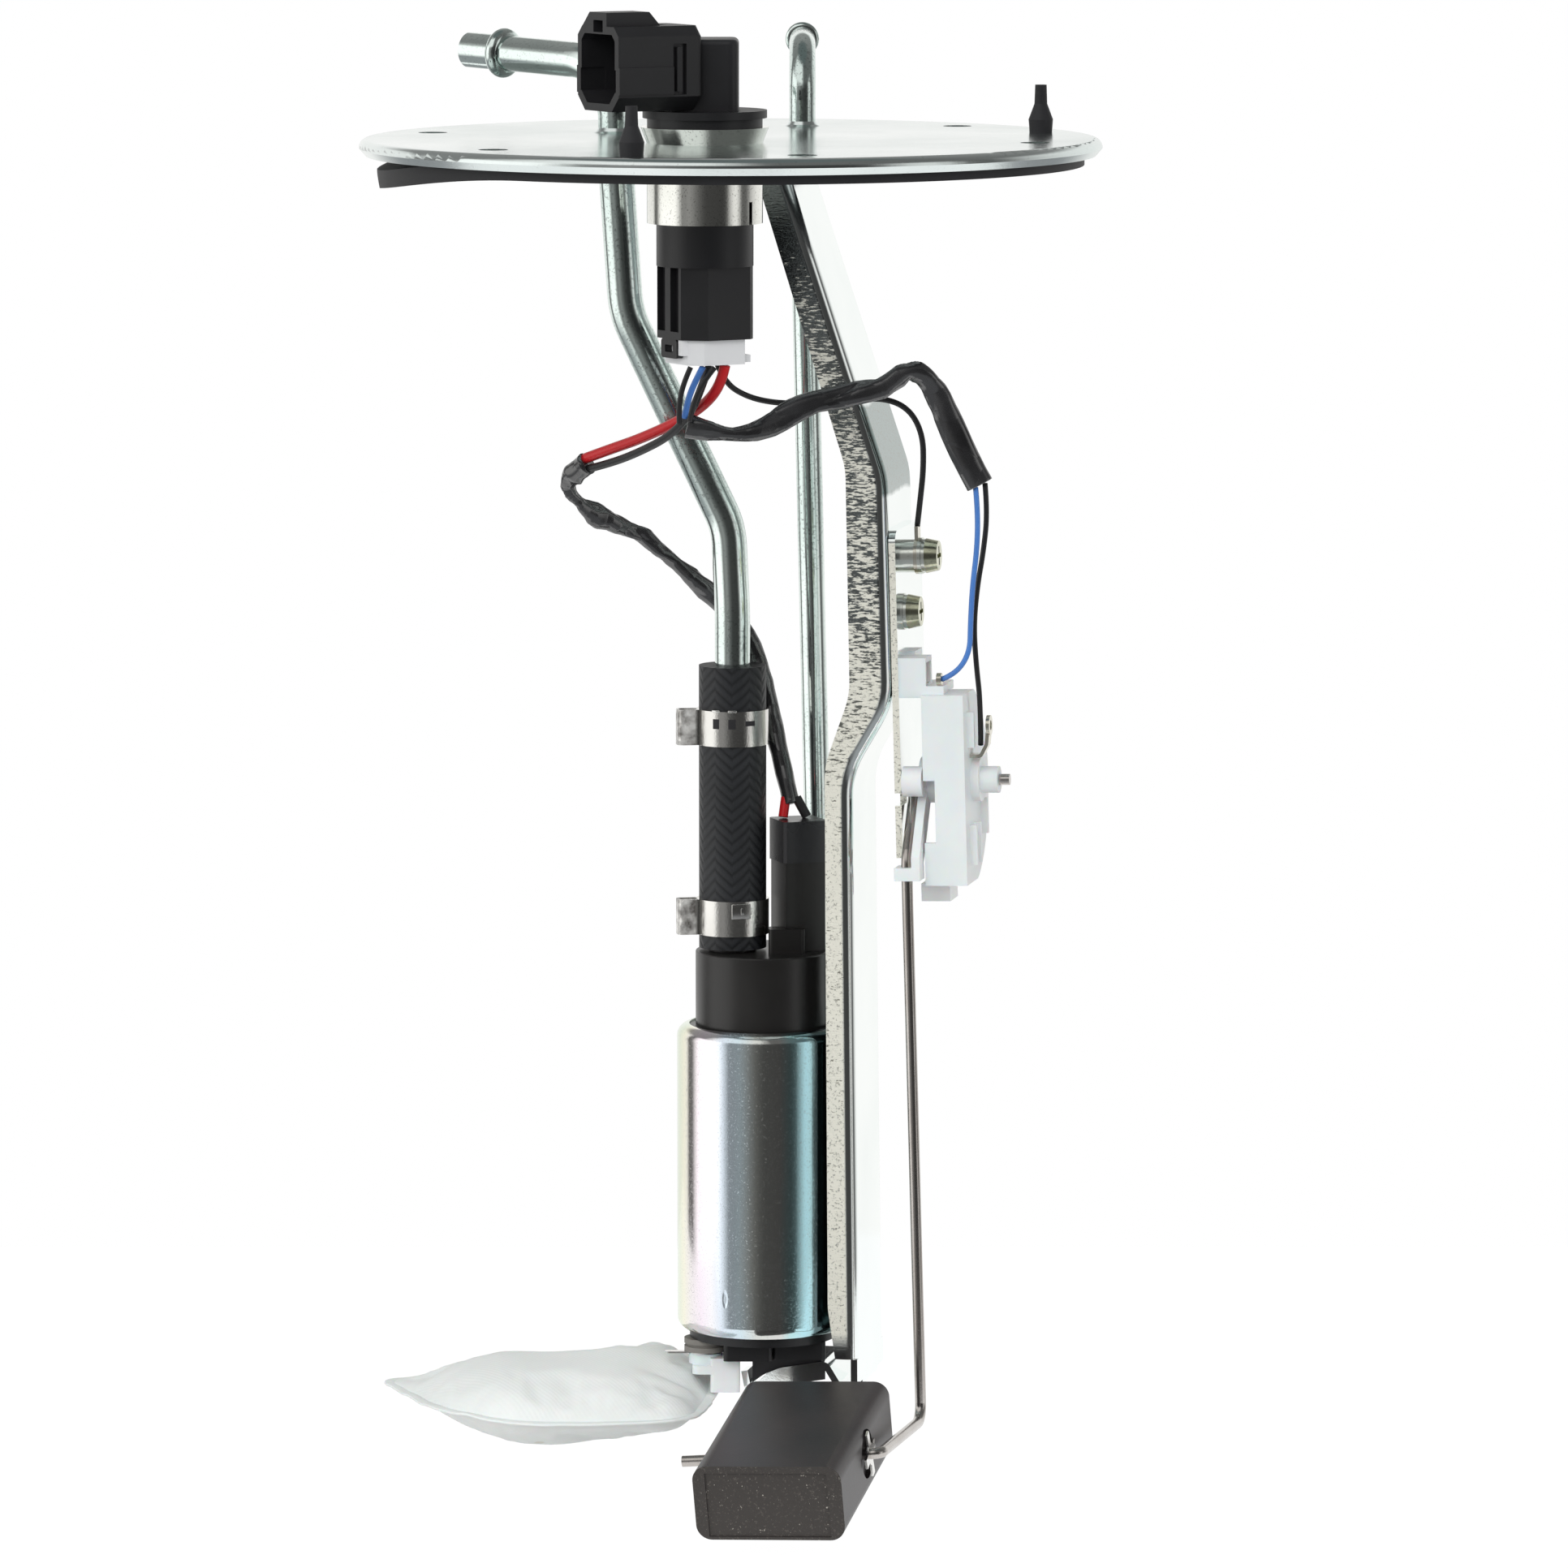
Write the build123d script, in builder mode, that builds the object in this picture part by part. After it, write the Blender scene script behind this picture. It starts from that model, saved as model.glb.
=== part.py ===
"""Fuel pump module: flange with outlets and connector, hanger bracket, in-tank pump, strainer, level sender."""
from build123d import *
from math import atan2, cos, degrees, pi, radians, sin, sqrt, tan
import os

os.makedirs("parts", exist_ok=True)

# ------------------------------------------------------------------ driving dimensions (mm)
# The origin is the centre of the flange's sealing face; +Z points up, out of the tank.
flange_dia = 165.0
flange_sheet = 2.0
rim_drop = 1.7
bolt_circle = flange_dia - 25.0
bolt_count = 6
bolt_hole_dia = 6.5
bolt_phase = -17.0
gasket_dia = flange_dia - 8.0
gasket_width = 17.5
gasket_thickness = 3.8
gasket_droop = 4.8
gasket_droop_start = 33.5 - gasket_dia / 2
nub_circle = bolt_circle + 6.0
nub_angles = (253.4, 18.0)
nub_tail_dia = 2.9
nub_base_dia = 5.5
nub_height = 10.6

connector_x, connector_y = -5.6, -20.0
ferrule_dia = 25.5
ferrule_wall = 1.3
ferrule_flare_dia = 28.2
ferrule_top = 5.5
ferrule_bottom = -15.6
collar_dia = 27.4
collar_thickness = 1.7
collar_step = 2.0
column_width = 15.0
column_depth = 16.0
column_top = 24.9
socket_turn = 30.0
socket_width = 18.4
socket_bottom = 9.6
socket_top = 28.1
socket_length = 21.1
socket_start = 5.6
socket_wall = 1.7
socket_depth = 16.0
socket_key_width = 7.6
socket_key_height = 3.0
socket_key_length = 13.4
socket_key_slope = 2.7
shroud_neck_dia = 21.4
shroud_neck_bottom = -25.0
shroud_side = 16.6
shroud_bottom = -41.0
shroud_wall = 1.8
pin_dia = 1.8
pin_pitch = 4.4
pin_reach = 8.5
plug_overhang = 5.6
plug_depth = 8.0

supply_dia = 8.0
supply_wall = 1.0
supply_x, supply_y = -25.9, 21.0
supply_bead_dia = 11.3
supply_bead_inset = 10.4
return_dia = 6.0
return_wall = 0.8
return_x, return_y = 16.0, gasket_dia / 2 - gasket_width - 12.5
return_bead_dia = 7.8
return_bead_inset = 10.0
braze_leg = 1.1

sheet = 1.5
hanger_turn = 12.0
channel_front = 4.0
channel_width = 30.0
lean = 1.6
plate_front = 5.0
plate_width = 30.0
plate_top = -85.6
plate_bottom = -159.0
notch_height = 2.8
notch_depth = 6.0

pivot_b = 14.0
pivot_z = -142.4
wire_dia = 2.5
wire_offset = 1.6
arm_drop = 143.7
arm_set_forward = 13.0
arm_bend_drop = 16.5
arm_reach = 41.0
axle_span = 44.9
axle_tilt = 3.2
axle_stub = 23.1
float_width = 33.4
float_length = 52.0
float_height = 17.2
float_tilt = 10.0
float_roll = 2.2
float_yaw = 1.3
float_sag = 0.7
float_bore_clearance = 0.06

pump_x, pump_y = 7.0, 15.0
can_dia = 38.9
can_wall = 1.2
can_top = -199.0
can_length = 70.0
can_shoulder = 2.8
cap_dia = 30.4
cap_top = can_top + 16.7
barb_x = 0.2
barb_dia = 7.8
barb_top = cap_top + 19.3
hose_dia = 15.2
hose_bottom = cap_top + 0.7
hose_top = hose_bottom + 64.1
clamp_width = 8.0
clamp_sheet = 0.6
clamp_heights = (hose_top - 13.8, hose_bottom + 7.2)
shaft_dia = 4.0
armature_dia = 26.0
armature_length = 30.0
armature_seat = 4.6
commutator_dia = 19.2
shaft_journal = 7.0
magnet_thickness = 3.6
magnet_gap = 9.0
impeller_dia = 30.0
impeller_thickness = 3.0
blade_count = 24
chamber_port_reach = 11.5
chamber_port_length = 7.0
fit_gap = 0.05
valve_travel = 1.5

# ------------------------------------------------------------------ frames and helpers
turn = radians(hanger_turn)
N = Vector(cos(turn), -sin(turn), 0)
U = Vector(sin(turn), cos(turn), 0)
Z = Vector(0, 0, 1)


def across(b):
    """Upright plane facing the front, b along the hanger's depth: x runs along N, y runs up."""
    return Plane(origin=U * b, x_dir=N, z_dir=-U)


def level(z, a=0.0, b=0.0):
    """Level plane in the hanger's directions, with its origin at (a, b)."""
    return Plane(origin=N * a + U * b + Z * z, x_dir=N, z_dir=Z)


def at(x, y, z):
    """Level plane in the part's own directions."""
    return Plane(origin=(x, y, z), x_dir=(1, 0, 0), z_dir=(0, 0, 1))


def save(part, name):
    part.label = name
    export_step(part, f"parts/{name}.step")


# Outer (web) and inner (lip) edges of the hanger channel, seen from the front: (along N, height).
web_mid = 35.1
web_mid_z = -100.0
web_slope = tan(radians(lean))
upper_bend_z, lower_bend_z = -73.5, -124.5
web_edge = [
    (9.9, 0.0),
    (web_mid + (web_mid_z - upper_bend_z) * web_slope, upper_bend_z),
    (web_mid + (web_mid_z - lower_bend_z) * web_slope, lower_bend_z),
    (26.5, -140.5),
    (28.1, -273.5),
]
lip_edge = [(2.7, 0.0), (25.2, -71.5), (26.2, -122.5), (20.5, -138.5), (21.3, -262.0), (23.0, -273.5)]

# The sender sits on the leaning plate: off is along its axle, b along the depth, h up along the plate.
lean_angle = radians(lean)
NS = N * cos(lean_angle) + Z * sin(lean_angle)
ZS = Z * cos(lean_angle) - N * sin(lean_angle)
plate_face = web_mid + sheet / cos(lean_angle) + (web_mid_z - pivot_z) * web_slope
PIVOT = N * plate_face + U * pivot_b + Z * pivot_z


def sender_point(off, b, h):
    return PIVOT + NS * off + U * b + ZS * h


def sender_plane(off):
    """Plane parallel to the plate, off from its face: x along the depth, y up the plate."""
    return Plane(origin=PIVOT + NS * off, x_dir=U, z_dir=NS)


# ------------------------------------------------------------------ flange and gasket
flange_r = flange_dia / 2
gasket_r = gasket_dia / 2
rim_inner_r = gasket_r + 0.8
ferrule_r = ferrule_dia / 2
flat_r = flange_r - 2.1
nose_z = -0.1

with BuildPart() as flange_plate:
    with BuildSketch(Plane.XZ):
        with BuildLine():
            Line((0, 0), (0, flange_sheet))
            Line((0, flange_sheet), (flat_r, flange_sheet))
            ThreePointArc(
                (flat_r, flange_sheet),
                (flat_r + 1.55, flange_sheet - 0.6),
                (flange_r, nose_z),
            )
            Polyline(
                (flange_r, nose_z),
                (flange_r - 1.4, -rim_drop),
                (rim_inner_r + 0.3, -rim_drop),
                (rim_inner_r, 0),
                (0, 0),
            )
        make_face()
    revolve(axis=Axis.Z)
    with BuildSketch(Plane.XY.offset(-rim_drop)):
        with PolarLocations(bolt_circle / 2, bolt_count, bolt_phase):
            Circle(bolt_hole_dia / 2)
        with Locations((connector_x, connector_y)):
            Circle(ferrule_r)
        with Locations((supply_x, supply_y)):
            Circle(supply_dia / 2)
        with Locations((return_x, return_y)):
            Circle(return_dia / 2)
        for angle in nub_angles:
            with PolarLocations(nub_circle / 2, 1, angle):
                Circle(nub_tail_dia / 2)
    extrude(amount=rim_drop + flange_sheet, mode=Mode.SUBTRACT)
save(flange_plate.part, "flange_plate")

droop_run = gasket_r + gasket_droop_start
droop_r = (droop_run ** 2 + gasket_droop ** 2) / (2 * gasket_droop)
droop_sweep = atan2(droop_run, droop_r - gasket_droop)
with BuildPart() as gasket:
    with BuildSketch(Plane.XZ):
        with BuildLine():
            start = gasket_droop_start
            upper = CenterArc((start, -droop_r), droop_r, 90, degrees(droop_sweep))
            lower = CenterArc((start, -droop_r), droop_r - gasket_thickness, 90, degrees(droop_sweep))
            Line(upper @ 1, lower @ 1)
            Polyline(
                upper @ 0, (gasket_r, 0), (gasket_r, -gasket_thickness), lower @ 0
            )
        make_face()
    extrude(amount=gasket_r, both=True)
    with BuildSketch(Plane.XY.offset(-gasket_droop - 2 * gasket_thickness)):
        Circle(gasket_r)
        Circle(gasket_r - gasket_width, mode=Mode.SUBTRACT)
        with PolarLocations(bolt_circle / 2, bolt_count, bolt_phase):
            Circle(bolt_hole_dia / 2, mode=Mode.SUBTRACT)
    extrude(amount=gasket_droop + 2 * gasket_thickness, mode=Mode.INTERSECT)
    for angle in nub_angles:
        nub_x = nub_circle / 2 * cos(radians(angle))
        nub_y = nub_circle / 2 * sin(radians(angle))
        with BuildSketch(Plane(origin=(nub_x, nub_y, 0), x_dir=(1, 0, 0), z_dir=(0, -1, 0))):
            tail_r, base_r = nub_tail_dia / 2, nub_base_dia / 2
            with BuildLine():
                Polyline(
                    (0, -gasket_thickness / 2),
                    (tail_r, -gasket_thickness / 2),
                    (tail_r, flange_sheet),
                    (base_r - 0.2, flange_sheet),
                    (base_r, flange_sheet + 0.27 * nub_height),
                    (tail_r, flange_sheet + 0.6 * nub_height),
                    (tail_r - 0.15, flange_sheet + nub_height),
                    (0, flange_sheet + nub_height),
                    close=True,
                )
            make_face()
        revolve(axis=Axis((nub_x, nub_y, 0), (0, 0, 1)))
save(gasket.part, "gasket")

# ------------------------------------------------------------------ electrical connector
socket_dir = Vector(-cos(radians(socket_turn)), -sin(radians(socket_turn)), 0)
socket_side = Vector(sin(radians(socket_turn)), -cos(radians(socket_turn)), 0)
CONNECTOR = Vector(connector_x, connector_y, 0)
collar_r = collar_dia / 2
neck_r = shroud_neck_dia / 2
ferrule_bore_r = ferrule_r - ferrule_wall
seat_z = ferrule_top
collar_z = seat_z + collar_step
collar_top = collar_z + collar_thickness
slot_angle = -37.5
seal_height = 2.4

with BuildPart() as connector_ferrule:
    with BuildSketch(Plane(origin=CONNECTOR, x_dir=(1, 0, 0), z_dir=(0, -1, 0))):
        flare_r = ferrule_flare_dia / 2
        with BuildLine():
            Polyline(
                (ferrule_r, ferrule_bottom),
                (ferrule_r, flange_sheet),
                (flare_r, ferrule_top),
                (flare_r - ferrule_wall, ferrule_top),
                (ferrule_bore_r, flange_sheet + 0.3),
                (ferrule_bore_r, ferrule_bottom),
                close=True,
            )
        make_face()
    revolve(axis=Axis(CONNECTOR, (0, 0, 1)))
    slot_x = cos(radians(slot_angle)) * ferrule_r
    slot_y = sin(radians(slot_angle)) * ferrule_r
    with BuildSketch(at(connector_x + slot_x, connector_y + slot_y, ferrule_bottom)):
        Rectangle(5.0, 1.1, rotation=slot_angle)
    extrude(amount=5.0, mode=Mode.SUBTRACT)
save(connector_ferrule.part, "connector_ferrule")

socket_mid_z = (socket_bottom + socket_top) / 2
socket_height = socket_top - socket_bottom
socket_end = socket_start + socket_length
cavity_back = socket_end - socket_depth


def socket_plane(s, z=socket_mid_z):
    """Upright plane across the socket, s from the connector's axis: x towards the latch side, y up."""
    return Plane(origin=CONNECTOR + socket_dir * s + Z * z, x_dir=socket_side, z_dir=socket_dir)


shroud_turn = socket_turn
plug_side = shroud_side - 2 * shroud_wall
key_corner = CONNECTOR + socket_dir * socket_end - socket_side * (socket_key_width / 2) + Z * socket_top
band_low, band_height, band_proud = 13.4, 5.9, 0.45
band_length = 13.6
window_width, window_height = 3.3, 11.1
latch_face = Plane(
    origin=CONNECTOR + socket_dir * (socket_start + 5.8) + socket_side * (socket_width / 2) + Z * 18.75,
    x_dir=socket_dir,
    z_dir=socket_side,
)


def socket_outline(inset=0.0):
    """Mouth of the socket: cut lower corners, the far roof corner cut to meet the key rib's shoulder."""
    wide, tall = socket_width / 2 - inset, socket_height / 2 - inset
    cut = 0.4 * inset
    low, roof = 3.2 - cut, 2.1 - cut
    with BuildLine() as outline:
        Polyline(
            (-wide + low, -tall),
            (wide - low, -tall),
            (wide, -tall + low),
            (wide, tall - roof),
            (wide - roof, tall),
            (-wide + roof, tall),
            (-wide, tall - roof),
            (-wide, -tall + low),
            close=True,
        )
    return outline.edges()


def rear_edge(edge):
    """True for the socket's edges round its closed end, where they stand clear of the column."""
    middle = edge.center() - CONNECTOR
    behind = abs(middle.dot(socket_dir) - socket_start) < 0.01
    return behind and abs(middle.dot(socket_side)) > column_width / 2 and middle.Z > socket_bottom + 1.0


with BuildPart() as connector_housing:
    with BuildSketch(at(connector_x, connector_y, seat_z)):
        Circle(collar_r - 1.0)
    extrude(amount=collar_step)
    with BuildSketch(at(connector_x, connector_y, collar_z)):
        Circle(collar_r)
    extrude(amount=collar_thickness)
    with BuildSketch(at(connector_x, connector_y, collar_top)):
        RectangleRounded(column_width, column_depth, 2.2)
    extrude(amount=column_top - collar_top)
    fillet(connector_housing.faces().sort_by(Axis.Z)[-1].edges(), 1.2)
    with BuildSketch(socket_plane(socket_start)):
        make_face(socket_outline())
    extrude(amount=socket_length)
    fillet(connector_housing.edges().filter_by(rear_edge), 1.3)
    # key rib on the roof, sloping down at its rear end
    with BuildSketch(Plane(origin=key_corner, x_dir=-socket_dir, z_dir=socket_side)):
        with BuildLine():
            Polyline(
                (0, -1.0),
                (0, socket_key_height),
                (socket_key_length - socket_key_slope, socket_key_height),
                (socket_key_length, 0),
                (socket_key_length, -1.0),
                close=True,
            )
        make_face()
    extrude(amount=socket_key_width)
    # shoulder that runs from the rib down to the far side of the mouth
    with BuildSketch(socket_plane(socket_end)):
        with BuildLine():
            Polyline(
                (-socket_key_width / 2, socket_height / 2 + socket_key_height),
                (-socket_width / 2, socket_height / 2 - 2.1),
                (-socket_width / 2 + 2.0, socket_height / 2 - 2.4),
                (-socket_key_width / 2 + 0.5, socket_height / 2 - 1.0),
                close=True,
            )
        make_face()
    extrude(amount=-3.2)
    # raised band along both side walls
    with BuildSketch(socket_plane(socket_end)):
        with Locations((0, band_low + band_height / 2 - socket_mid_z)):
            Rectangle(socket_width + 2 * band_proud, band_height)
    extrude(amount=-band_length)
    with BuildSketch(socket_plane(cavity_back)):
        make_face(socket_outline(socket_wall))
    extrude(amount=socket_depth, mode=Mode.SUBTRACT)
    with BuildSketch(socket_plane(cavity_back)):
        with Locations((0, socket_height / 2)):
            Rectangle(socket_key_width - 2 * socket_wall, 2 * (socket_key_height - socket_wall))
    extrude(amount=socket_depth, mode=Mode.SUBTRACT)
    with BuildSketch(socket_plane(socket_end)):
        with Locations((0, band_low + band_height / 2 - socket_mid_z)):
            Rectangle(socket_width - 2 * socket_wall + 2 * band_proud, band_height - 1.0)
    extrude(amount=-6.0, mode=Mode.SUBTRACT)
    # latch window on the side wall with a bar left standing in it, and the shallow recess beside it
    with BuildSketch(latch_face):
        Rectangle(window_width, window_height)
        Rectangle(window_width - 2.0, window_height - 1.4, mode=Mode.SUBTRACT)
    extrude(amount=-0.9, mode=Mode.SUBTRACT)
    with BuildSketch(latch_face):
        with Locations((window_width / 2 + 1.2, 2.7)):
            Rectangle(1.3, 5.2)
    extrude(amount=-0.6, mode=Mode.SUBTRACT)
    # round neck through the ferrule, then the turned shroud that takes the harness plug
    with BuildSketch(at(connector_x, connector_y, shroud_neck_bottom)):
        Circle(neck_r)
    extrude(amount=seat_z - shroud_neck_bottom)
    with BuildSketch(at(connector_x, connector_y, shroud_bottom)):
        Rectangle(shroud_side, shroud_side, rotation=shroud_turn)
        chamfer(vertices().sort_by(Axis.Y)[0], 4.4)
        Circle(neck_r, mode=Mode.INTERSECT)
    extrude(amount=shroud_neck_bottom - shroud_bottom)
    with BuildSketch(at(connector_x, connector_y, shroud_bottom)):
        Rectangle(plug_side, plug_side, rotation=shroud_turn)
        chamfer(vertices().sort_by(Axis.Y)[0], 2.6)
    extrude(amount=plug_depth, mode=Mode.SUBTRACT)
    # two latch windows beside the guide bar on the shroud's left face
    shroud_face = Plane(
        origin=CONNECTOR + socket_dir * (shroud_side / 2) + Z * -32.2,
        x_dir=socket_side,
        z_dir=socket_dir,
    )
    with BuildSketch(shroud_face):
        with Locations((-5.0, 0), (1.0, 0)):
            Rectangle(3.6, 14.2)
    extrude(amount=-1.5, mode=Mode.SUBTRACT)
save(connector_housing.part, "connector_housing")

pin_rows = (-pin_pitch / 2, pin_pitch / 2)
pin_columns = (-pin_pitch, 0, pin_pitch)
with BuildPart() as connector_terminals:
    with BuildSketch(socket_plane(cavity_back)):
        with Locations(*[(x, y) for x in pin_columns for y in pin_rows]):
            Rectangle(pin_dia, pin_dia * 0.5)
    extrude(amount=pin_reach)
    with BuildSketch(at(connector_x, connector_y, shroud_bottom + plug_depth)):
        with Locations(Rot(0, 0, shroud_turn)):
            with Locations(*[(x, y) for x in pin_columns[::2] for y in pin_rows]):
                Circle(0.5)
    extrude(amount=-plug_depth * 0.4)
save(connector_terminals.part, "connector_terminals")

with BuildPart() as harness_plug:
    plug_top = shroud_bottom + plug_depth * 0.6
    plug_height = plug_top - (shroud_bottom - plug_overhang)
    with BuildSketch(at(connector_x, connector_y, plug_top)):
        Rectangle(plug_side - 2 * fit_gap, plug_side - 2 * fit_gap, rotation=shroud_turn)
        chamfer(vertices().sort_by(Axis.Y)[0], 2.6)
    extrude(amount=-plug_height)
    with BuildSketch(at(connector_x, connector_y, plug_top)):
        with Locations(Rot(0, 0, shroud_turn)):
            with Locations(*[(x, y) for x in pin_columns[::2] for y in pin_rows]):
                Circle(0.55)
    extrude(amount=-plug_depth * 0.4, mode=Mode.SUBTRACT)
    ledge = Plane(
        origin=CONNECTOR - socket_dir * (plug_side / 2 - 1.0) + Z * (shroud_bottom - plug_overhang + 1.1),
        x_dir=socket_side,
        z_dir=-socket_dir,
    )
    with BuildSketch(ledge):
        Rectangle(plug_side - 3.0, 1.6)
    extrude(amount=3.2)
    with BuildSketch(at(connector_x, connector_y, shroud_bottom - fit_gap)):
        with Locations(Rot(0, 0, shroud_turn)):
            with Locations((-plug_side / 2 - 0.7, -plug_side / 2 + 3.5)):
                Rectangle(1.5, 1.7)
    extrude(amount=-3.4)
save(harness_plug.part, "harness_plug")

with BuildPart() as connector_latch:
    latch_plane = Plane(
        origin=CONNECTOR + socket_dir * (shroud_side / 2 - shroud_wall / 2) - socket_side * 1.6 + Z * shroud_bottom,
        x_dir=socket_side,
        z_dir=socket_dir,
    )
    with BuildSketch(latch_plane):
        with Locations((0, -2.1)):
            RectangleRounded(7.0, 4.2, 0.8)
            RectangleRounded(3.6, 1.6, 0.4, mode=Mode.SUBTRACT)
    extrude(amount=shroud_wall / 2 - fit_gap, both=True)
save(connector_latch.part, "connector_latch")

with BuildPart() as connector_seal:
    with BuildSketch(Plane(origin=CONNECTOR, x_dir=(1, 0, 0), z_dir=(0, -1, 0))):
        with Locations(((neck_r + ferrule_bore_r) / 2, flange_sheet / 2)):
            Rectangle(ferrule_bore_r - neck_r, seal_height)
    revolve(axis=Axis(CONNECTOR, (0, 0, 1)))
save(connector_seal.part, "connector_seal")

# ------------------------------------------------------------------ outlet pipes
supply_run = [
    (-59.6, 49.5, 19.2),
    (supply_x, supply_y, 17.4),
    (supply_x, supply_y, -6.0),
    (-23.7, supply_y, -38.5),
    (barb_x - 0.9, pump_y + 2.0, -86.5),
    (barb_x, pump_y, -105.0),
    (barb_x, pump_y, hose_top - 20.0),
]
supply_radii = [13.0, 60.0, 22.0, 20.0, 60.0]
return_run = [
    (return_x, 86.0, 20.8),
    (return_x, return_y, 19.6),
    (return_x, return_y, -8.0),
    (21.2, return_y, -235.0),
]
return_radii = [12.0, 60.0]


def pipe_solid(points, radii, outer, wall):
    """Bent tube along straight runs and tangent arcs."""
    with BuildPart() as pipe:
        with BuildLine() as run:
            FilletPolyline(*points, radius=radii)
        with BuildSketch(Plane(origin=run.line @ 0, z_dir=run.line % 0)):
            Circle(outer / 2)
            Circle(outer / 2 - wall, mode=Mode.SUBTRACT)
        sweep(path=run.line)
    return pipe.part


def bead_solid(end, towards, inset, tube_dia, bead_dia):
    """Rolled bead near a tube's free end, as a ring about the tube."""
    direction = (Vector(*towards) - Vector(*end)).normalized()
    centre = Vector(*end) + direction * inset
    radial = direction.cross(Z).normalized()
    bulge = (bead_dia - tube_dia) / 2
    with BuildPart() as bead:
        with BuildSketch(Plane(origin=centre, x_dir=radial, z_dir=radial.cross(direction))):
            with Locations((tube_dia / 2, 0)):
                Circle(bulge)
            with Locations((tube_dia / 2 - bulge - 0.2, 0)):
                Rectangle(2 * bulge, 4 * bulge, mode=Mode.SUBTRACT)
        revolve(axis=Axis(centre, direction))
    return bead.part


with BuildPart() as supply_pipe:
    add(pipe_solid(supply_run, supply_radii, supply_dia, supply_wall))
    add(bead_solid(supply_run[0], supply_run[1], supply_bead_inset, supply_dia, supply_bead_dia))
save(supply_pipe.part, "supply_pipe")

with BuildPart() as return_pipe:
    add(pipe_solid(return_run, return_radii, return_dia, return_wall))
    add(bead_solid(return_run[0], return_run[1], return_bead_inset, return_dia, return_bead_dia))
save(return_pipe.part, "return_pipe")

with BuildPart() as braze_fillets:
    brazed = (
        (supply_x, supply_y, supply_dia / 2, (flange_sheet, 0.0)),
        (return_x, return_y, return_dia / 2, (flange_sheet, 0.0)),
        (connector_x, connector_y, ferrule_r, (0.0,)),
    )
    for x, y, r, faces_z in brazed:
        for z in faces_z:
            leg = braze_leg if z > 0 else -braze_leg
            with BuildSketch(Plane(origin=(x, y, z), x_dir=(1, 0, 0), z_dir=(0, -1, 0))):
                with BuildLine():
                    Polyline((r, leg), (r, 0), (r + braze_leg, 0), (r + 0.35 * braze_leg, 0.35 * leg), (r, leg))
                make_face()
            revolve(axis=Axis((x, y, z), (0, 0, 1)))
save(braze_fillets.part, "braze_fillets")

# ------------------------------------------------------------------ hanger bracket
bend_radius = 18.0
deep = 60.0
foot_b, foot_width, tab_width = 10.0, 17.0, 6.0
lip_end = -273.5
foot_line = [
    (27.3, lip_end), (27.4, -281.0), (22.6, -281.0), (19.5, -276.0), (9.3, -277.9), (6.3, -279.2),
    (1.5, -284.0), (0.4, -278.5),
]
foot_turns = [1.7, 1.7, 1.3, 6.0, 4.0, 1.0]
foot_lip = 3.4


def channel_outline():
    """Outline of the channel seen from the front, its bends rounded."""
    with BuildLine() as outline:
        FilletPolyline(*web_edge, radius=bend_radius)
        Line(web_edge[-1], lip_edge[-1])
        FilletPolyline(*lip_edge, radius=bend_radius)
        Line(lip_edge[0], web_edge[0])
    return outline.edges()


def channel_core():
    """Outline that follows the web and runs far past the channel's ends and its open side."""
    top_run = (web_edge[0][0] - web_edge[1][0]) / (web_edge[0][1] - web_edge[1][1])
    longer = [(web_edge[0][0] + top_run * deep, deep)] + web_edge[1:-1] + [(28.8, lip_end - deep)]
    with BuildLine() as outline:
        FilletPolyline(*longer, radius=bend_radius)
        Polyline(longer[-1], (-deep, lip_end - deep), (-deep, deep), longer[0])
    return outline.edges()


def web_edges(part, reach, depths):
    """The part's edges that follow the web's outer line, moved in by reach, at the given depths."""
    chosen = []
    for edge in part.edges():
        middle = edge @ 0.5
        depth_fits = any(abs(middle.dot(U) - depth) < 0.01 for depth in depths)
        if depth_fits and abs(web_offset(middle.dot(N), middle.Z) - reach) < 0.12:
            chosen.append(edge)
    return chosen


with BuildLine() as web_line:
    FilletPolyline(*[(a, z) for a, z in web_edge], radius=bend_radius)


def web_offset(a, z):
    """Distance of a point in the front view from the web's outer line."""
    return web_line.line.distance_to(Vector(a, z, 0))


outer_bend, inner_bend = 2.6, 1.1
with BuildPart() as channel_hollow:
    with BuildSketch(across(channel_front + sheet)):
        make_face(channel_core())
        offset(amount=-sheet, kind=Kind.INTERSECTION, mode=Mode.REPLACE)
    extrude(amount=-(channel_width - 2 * sheet))
    hollow_depths = (channel_front + sheet, channel_front + channel_width - sheet)
    fillet(web_edges(channel_hollow, sheet, hollow_depths), inner_bend)

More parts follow.
